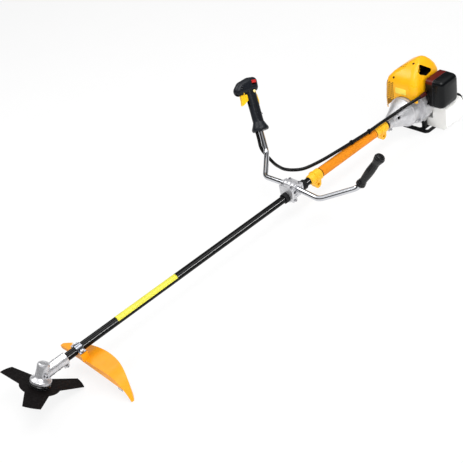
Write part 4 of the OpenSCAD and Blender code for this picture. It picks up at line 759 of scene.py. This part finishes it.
# The throttle grip's own directions: forward, out of its left side and up along it, from the foot of its bar
GRIP_FOOT = Vector((0.607, -0.221, 0.15515))
GRIP_FORE = Vector((0.953934, -0.153802, 0.257595))
GRIP_SIDE = Vector((0.0, 0.858600, 0.512642))
GRIP_UP = Vector((-0.300018, -0.489029, 0.819048))
# The ring round its lock button, at (forward, up), and its ribs' places, stretch up the grip, width and height
BUTTON_AT = (-0.007, 0.204)
BUTTON_RING_INNER, BUTTON_RING_OUTER, BUTTON_RING_HEIGHT = 0.0055, 0.0072, 0.0006
GRIP_RIBS_AT, GRIP_RIB_UP = (-0.008, 0.0, 0.008), (0.088, 0.176)
GRIP_RIB_WIDTH, GRIP_RIB_HEIGHT = 0.0026, 0.0007


def grip_point(fore, side, up):
    return GRIP_FOOT + GRIP_FORE * fore + GRIP_SIDE * side + GRIP_UP * up


def make_grip_details():
    """A dark ring round the lock button and ribs along both sides of the throttle grip."""
    case = surface("throttle_case_left", "throttle_case_right")
    button = grip_point(BUTTON_AT[0], OUTSIDE, BUTTON_AT[1])
    ring = laid_collar(case, button, -GRIP_SIDE, BUTTON_RING_INNER, BUTTON_RING_OUTER, BUTTON_RING_HEIGHT)
    add_piece("button_surround", *ring, "pocket_black")
    ribs = []
    for side in (1, -1):
        for fore in GRIP_RIBS_AT:
            line = [grip_point(fore, OUTSIDE * side, between(GRIP_RIB_UP, k / RIB_STEPS))
                    for k in range(RIB_STEPS + 1)]
            ribs.append(laid_strip(case, line, GRIP_FORE, -GRIP_SIDE * side, GRIP_RIB_WIDTH, GRIP_RIB_HEIGHT))
    add_piece("grip_ribs", *gather(ribs), "rib_rubber")


# The left grip mirrors the throttle grip's bar: its ribs, and beads at heights round its two knobs
LEFT_FOOT = Vector((GRIP_FOOT.x, -GRIP_FOOT.y, GRIP_FOOT.z))
LEFT_UP = Vector((GRIP_UP.x, -GRIP_UP.y, GRIP_UP.z))
LEFT_RIBS, LEFT_RIB_UP = 12, (0.026, 0.110)
LEFT_RIB_WIDTH, LEFT_RIB_HEIGHT = 0.0034, 0.0009
LEFT_BEADS, LEFT_BEAD_R = (0.004, 0.012, 0.122, 0.130), 0.0012


def make_left_grip_details():
    """Ribs along the left grip and beads round its two knobs."""
    grip = surface("left_grip")
    across = LEFT_UP.orthogonal().normalized()
    over = LEFT_UP.cross(across)
    shapes = []
    for k in range(LEFT_RIBS):
        angle = math.tau * k / LEFT_RIBS
        out = math.cos(angle) * across + math.sin(angle) * over
        line = [LEFT_FOOT + LEFT_UP * between(LEFT_RIB_UP, i / RIB_STEPS) + out * OUTSIDE
                for i in range(RIB_STEPS + 1)]
        shapes.append(laid_strip(grip, line, LEFT_UP.cross(out), -out, LEFT_RIB_WIDTH, LEFT_RIB_HEIGHT))
    for height in LEFT_BEADS:
        shapes.append(bead_ring(grip, LEFT_FOOT + LEFT_UP * height, across, over, LEFT_BEAD_R))
    add_piece("left_grip_ribs", *gather(shapes), "rib_rubber")


# Dark rings where the padded sleeve meets its collars: painted shade in the gaps between them
GAP_SHADE_X, GAP_SHADE_R = (0.2775, 0.5695), 0.0014


def make_sleeve_gap_shade():
    sleeve = surface("shaft_sleeve")
    across, over = Vector((0, 1, 0)), Vector((0, 0, 1))
    rings = [bead_ring(sleeve, Vector((x, 0, AXIS_Z)), across, over, GAP_SHADE_R) for x in GAP_SHADE_X]
    add_piece("sleeve_gap_shade", *gather(rings), "boot_rubber")


# Pocket behind the cover's opening for the plug cap, at (x, z): its outline is the opening's own, a little
# wider, in millimetres. Its rim follows the cover's wall from inside, and never lies deeper than POCKET_LEAST_Y
# The pocket's near-black is painted shade for the dark space behind the opening.
POCKET_AT = (0.014, AXIS_Z + 0.139)
POCKET_ROUNDS = [(24, 2, 9), (10, 13, 9), (-26, -12, 7), (-2, -15, 7)]
POCKET_WIDER, POCKET_WALL, POCKET_DEPTH = 2.5, 0.0032, 0.016
POCKET_LEAST_Y, POCKET_SIGHT_Y, POCKET_THICK = 0.02, 0.3, 0.001


def outline_of(rounds, extra, count=40):
    """The outline drawn tight round several circles, in millimetres, as points at even angles."""
    points = []
    for k in range(count):
        angle = math.tau * k / count
        way = Vector((math.cos(angle), math.sin(angle)))
        x, z, radius = max(rounds, key=lambda r: r[0] * way.x + r[1] * way.y + r[2])
        points.append(Vector((x, z)) + way * (radius + extra))
    return points


def make_pocket():
    rim = []
    for point in outline_of(POCKET_ROUNDS, POCKET_WIDER):
        start = Vector((POCKET_AT[0] + point.x * MM, POCKET_SIGHT_Y, POCKET_AT[1] + point.y * MM))
        place, _, _, _ = cover.ray_cast(start, Vector((0, -1, 0)))
        rim.append(Vector((start.x, max(place.y if place else 0, POCKET_LEAST_Y) - POCKET_WALL, start.z)))
    count = len(rim)
    floor_y = min(v.y for v in rim) - POCKET_DEPTH
    back = [Vector((v.x, floor_y, v.z)) for v in rim]
    middle = sum(back, Vector()) / count
    verts = rim + back + [b.lerp(middle, 0.5) for b in back] + [middle]
    faces = band_faces(3, count)
    for k in range(count):
        faces.append((2 * count + k, 2 * count + (k + 1) % count, 3 * count))
    thicken(add_piece("plug_pocket", verts, faces, "pocket_black"), POCKET_THICK)


# The stopper's near-black also stands as painted shade for the pocket it lies in.
# Black stopper on the floor of the pocket in the clutch housing's neck: its outline's rounds and the change of
# outline at each level are in millimetres, and the heights of the levels over the floor in metres
STOPPER_FROM_END = 0.0415
STOPPER_TURN = math.radians(27)
STOPPER_OUT = Vector((0, math.cos(STOPPER_TURN), math.sin(STOPPER_TURN)))
STOPPER_OVER = Vector((0, -math.sin(STOPPER_TURN), math.cos(STOPPER_TURN)))
STOPPER_ROUNDS = [(x, z, 1) for x, z in ((4.3, 3.8), (-4.3, 3.8), (-4.3, -3.8), (4.3, -3.8))]
STOPPER_LEVELS = ((0, 0), (0.0025, 0), (0.0029, -0.6))


def make_neck_stopper_shade():
    housing = surface("clutch_housing")
    end_x = max(v.co.x for v in nodes["clutch_housing"].data.vertices)
    start = Vector((end_x - STOPPER_FROM_END, 0, AXIS_Z))
    place, _, _, _ = housing.ray_cast(start + STOPPER_OUT * REACH, -STOPPER_OUT)
    floor_r = (place - start).length
    verts = []
    for height, extra in STOPPER_LEVELS:
        middle = start + STOPPER_OUT * (floor_r + height)
        edge = outline_of(STOPPER_ROUNDS, extra)
        verts += [middle + Vector((p.x * MM, 0, 0)) + STOPPER_OVER * (p.y * MM) for p in edge]
    count = len(edge)
    faces = band_faces(len(STOPPER_LEVELS), count)
    top = (len(STOPPER_LEVELS) - 1) * count
    faces += [tuple(reversed(range(count))), tuple(range(top, top + count))]
    add_piece("neck_stopper_shade", verts, faces, "pocket_black")


make_grille()
make_cover_screws()
make_plate()
make_shaft_film()
make_grip_details()
make_left_grip_details()
make_sleeve_gap_shade()
make_pocket()
make_neck_stopper_shade()


# Studio: a pale floor that keeps the shadow, a white surround and soft lamps
FLOOR_HALF, FLOOR_GLOW = 14, 0.82
AMBIENT = 0.5
# How bright the walls are in reflections, and the heights between which they give way to white
WALL, WALL_TOP = 0.1, (0.55, 0.8)
CENTRE = (0.85, 0, 0.15)
SHAFT_MIDDLE = (0.95, 0, 0.1)


def floor_material():
    """Pale floor that shows nearly white to the camera and in reflections, and takes the object's shadow."""
    tree = Tree("floor")
    grain = tree.mix(tree.spread(tree.noise(6, 3), 0, 1), (0.9, 0.9, 0.9, 1), (0.93, 0.93, 0.93, 1))
    tree.set(Base_Color=grain, Roughness=0.7)
    glow = tree.add("ShaderNodeEmission")
    glow.inputs["Strength"].default_value = 1.0
    path = tree.add("ShaderNodeLightPath")
    seen = tree.add("ShaderNodeMath", operation="MAXIMUM")
    tree.join(path.outputs["Is Camera Ray"], seen.inputs[0])
    tree.join(path.outputs["Is Glossy Ray"], seen.inputs[1])
    share = tree.add("ShaderNodeMath", operation="MULTIPLY")
    share.inputs[1].default_value = FLOOR_GLOW
    tree.join(seen.outputs["Value"], share.inputs[0])
    both = tree.add("ShaderNodeMixShader")
    tree.join(share.outputs["Value"], both.inputs[0])
    tree.join(tree.shader.outputs["BSDF"], both.inputs[1])
    tree.join(glow.outputs["Emission"], both.inputs[2])
    tree.join(both.outputs["Shader"], tree.nodes["Material Output"].inputs["Surface"])
    return tree.material


def make_floor():
    corners = [(x * FLOOR_HALF, y * FLOOR_HALF, 0) for x, y in ((-1, -1), (1, -1), (1, 1), (-1, 1))]
    mesh = bpy.data.meshes.new("floor")
    mesh.from_pydata(corners, [], [(0, 1, 2, 3)])
    floor = bpy.data.objects.new("floor", mesh)
    bpy.context.scene.collection.objects.link(floor)
    mesh.materials.append(floor_material())


def make_world():
    """White for the camera; reflections also meet a darker band above the horizon, like a studio's walls."""
    world = bpy.data.worlds.new("world")
    bpy.context.scene.world = world
    world.use_nodes = True
    tree = world.node_tree

    def math_node(operation, first, second):
        node = tree.nodes.new("ShaderNodeMath")
        node.operation = operation
        for socket, value in zip(node.inputs, (first, second)):
            if isinstance(value, (int, float)):
                socket.default_value = value
            else:
                tree.links.new(value, socket)
        return node.outputs["Value"]

    path = tree.nodes.new("ShaderNodeLightPath")
    way = tree.nodes.new("ShaderNodeTexCoord")
    parts = tree.nodes.new("ShaderNodeSeparateXYZ")
    tree.links.new(way.outputs["Generated"], parts.inputs["Vector"])
    band = tree.nodes.new("ShaderNodeMapRange")
    band.interpolation_type = "SMOOTHSTEP"
    band.inputs["From Min"].default_value, band.inputs["From Max"].default_value = WALL_TOP
    band.inputs["To Min"].default_value, band.inputs["To Max"].default_value = WALL, 1.0
    tree.links.new(parts.outputs["Z"], band.inputs["Value"])
    shown = math_node("MULTIPLY", path.outputs["Is Glossy Ray"], band.outputs["Result"])
    rest = math_node("SUBTRACT", 1.0, math_node("MAXIMUM", path.outputs["Is Camera Ray"],
                                                path.outputs["Is Glossy Ray"]))
    light = math_node("ADD", math_node("ADD", path.outputs["Is Camera Ray"], shown),
                      math_node("MULTIPLY", rest, AMBIENT))
    back = tree.nodes["Background"]
    back.inputs["Color"].default_value = (1, 1, 1, 1)
    tree.links.new(light, back.inputs["Strength"])


def make_lamp(name, at, target, size, power, mirrored=True, only=()):
    """A soft lamp; one that is only for some nodes shows in their gloss and adds no light to their colour."""
    data = bpy.data.lights.new(name, "AREA")
    data.shape = "RECTANGLE"
    data.size, data.size_y = size
    data.energy = power
    lamp = bpy.data.objects.new(name, data)
    bpy.context.scene.collection.objects.link(lamp)
    lamp.visible_glossy = mirrored
    if only:
        lit = bpy.data.collections.new(name + "_lit")
        for node in only:
            lit.objects.link(nodes[node])
        lamp.light_linking.receiver_collection = lit
        lamp.visible_diffuse = False
    lamp.location = at
    lamp.rotation_euler = (Vector(target) - Vector(at)).to_track_quat("-Z", "Y").to_euler()


make_floor()
make_world()
make_lamp("strip", (-0.4, 2.3, 1.35), SHAFT_MIDDLE, (4.0, 0.4), 450, only=["shaft_tube"])
make_lamp("key", (0.6, 1.0, 3.2), CENTRE, (3.0, 1.4), 60)
make_lamp("fill", (0.4, 3.2, 1.6), CENTRE, (2.4, 2.0), 40, mirrored=False)
make_lamp("front", (3.6, 1.2, 1.2), CENTRE, (2.0, 1.6), 22, mirrored=False)
make_lamp("rim", (1.3, -1.7, 2.4), CENTRE, (1.4, 1.0), 25)

bpy.context.scene.view_settings.view_transform = "Standard"
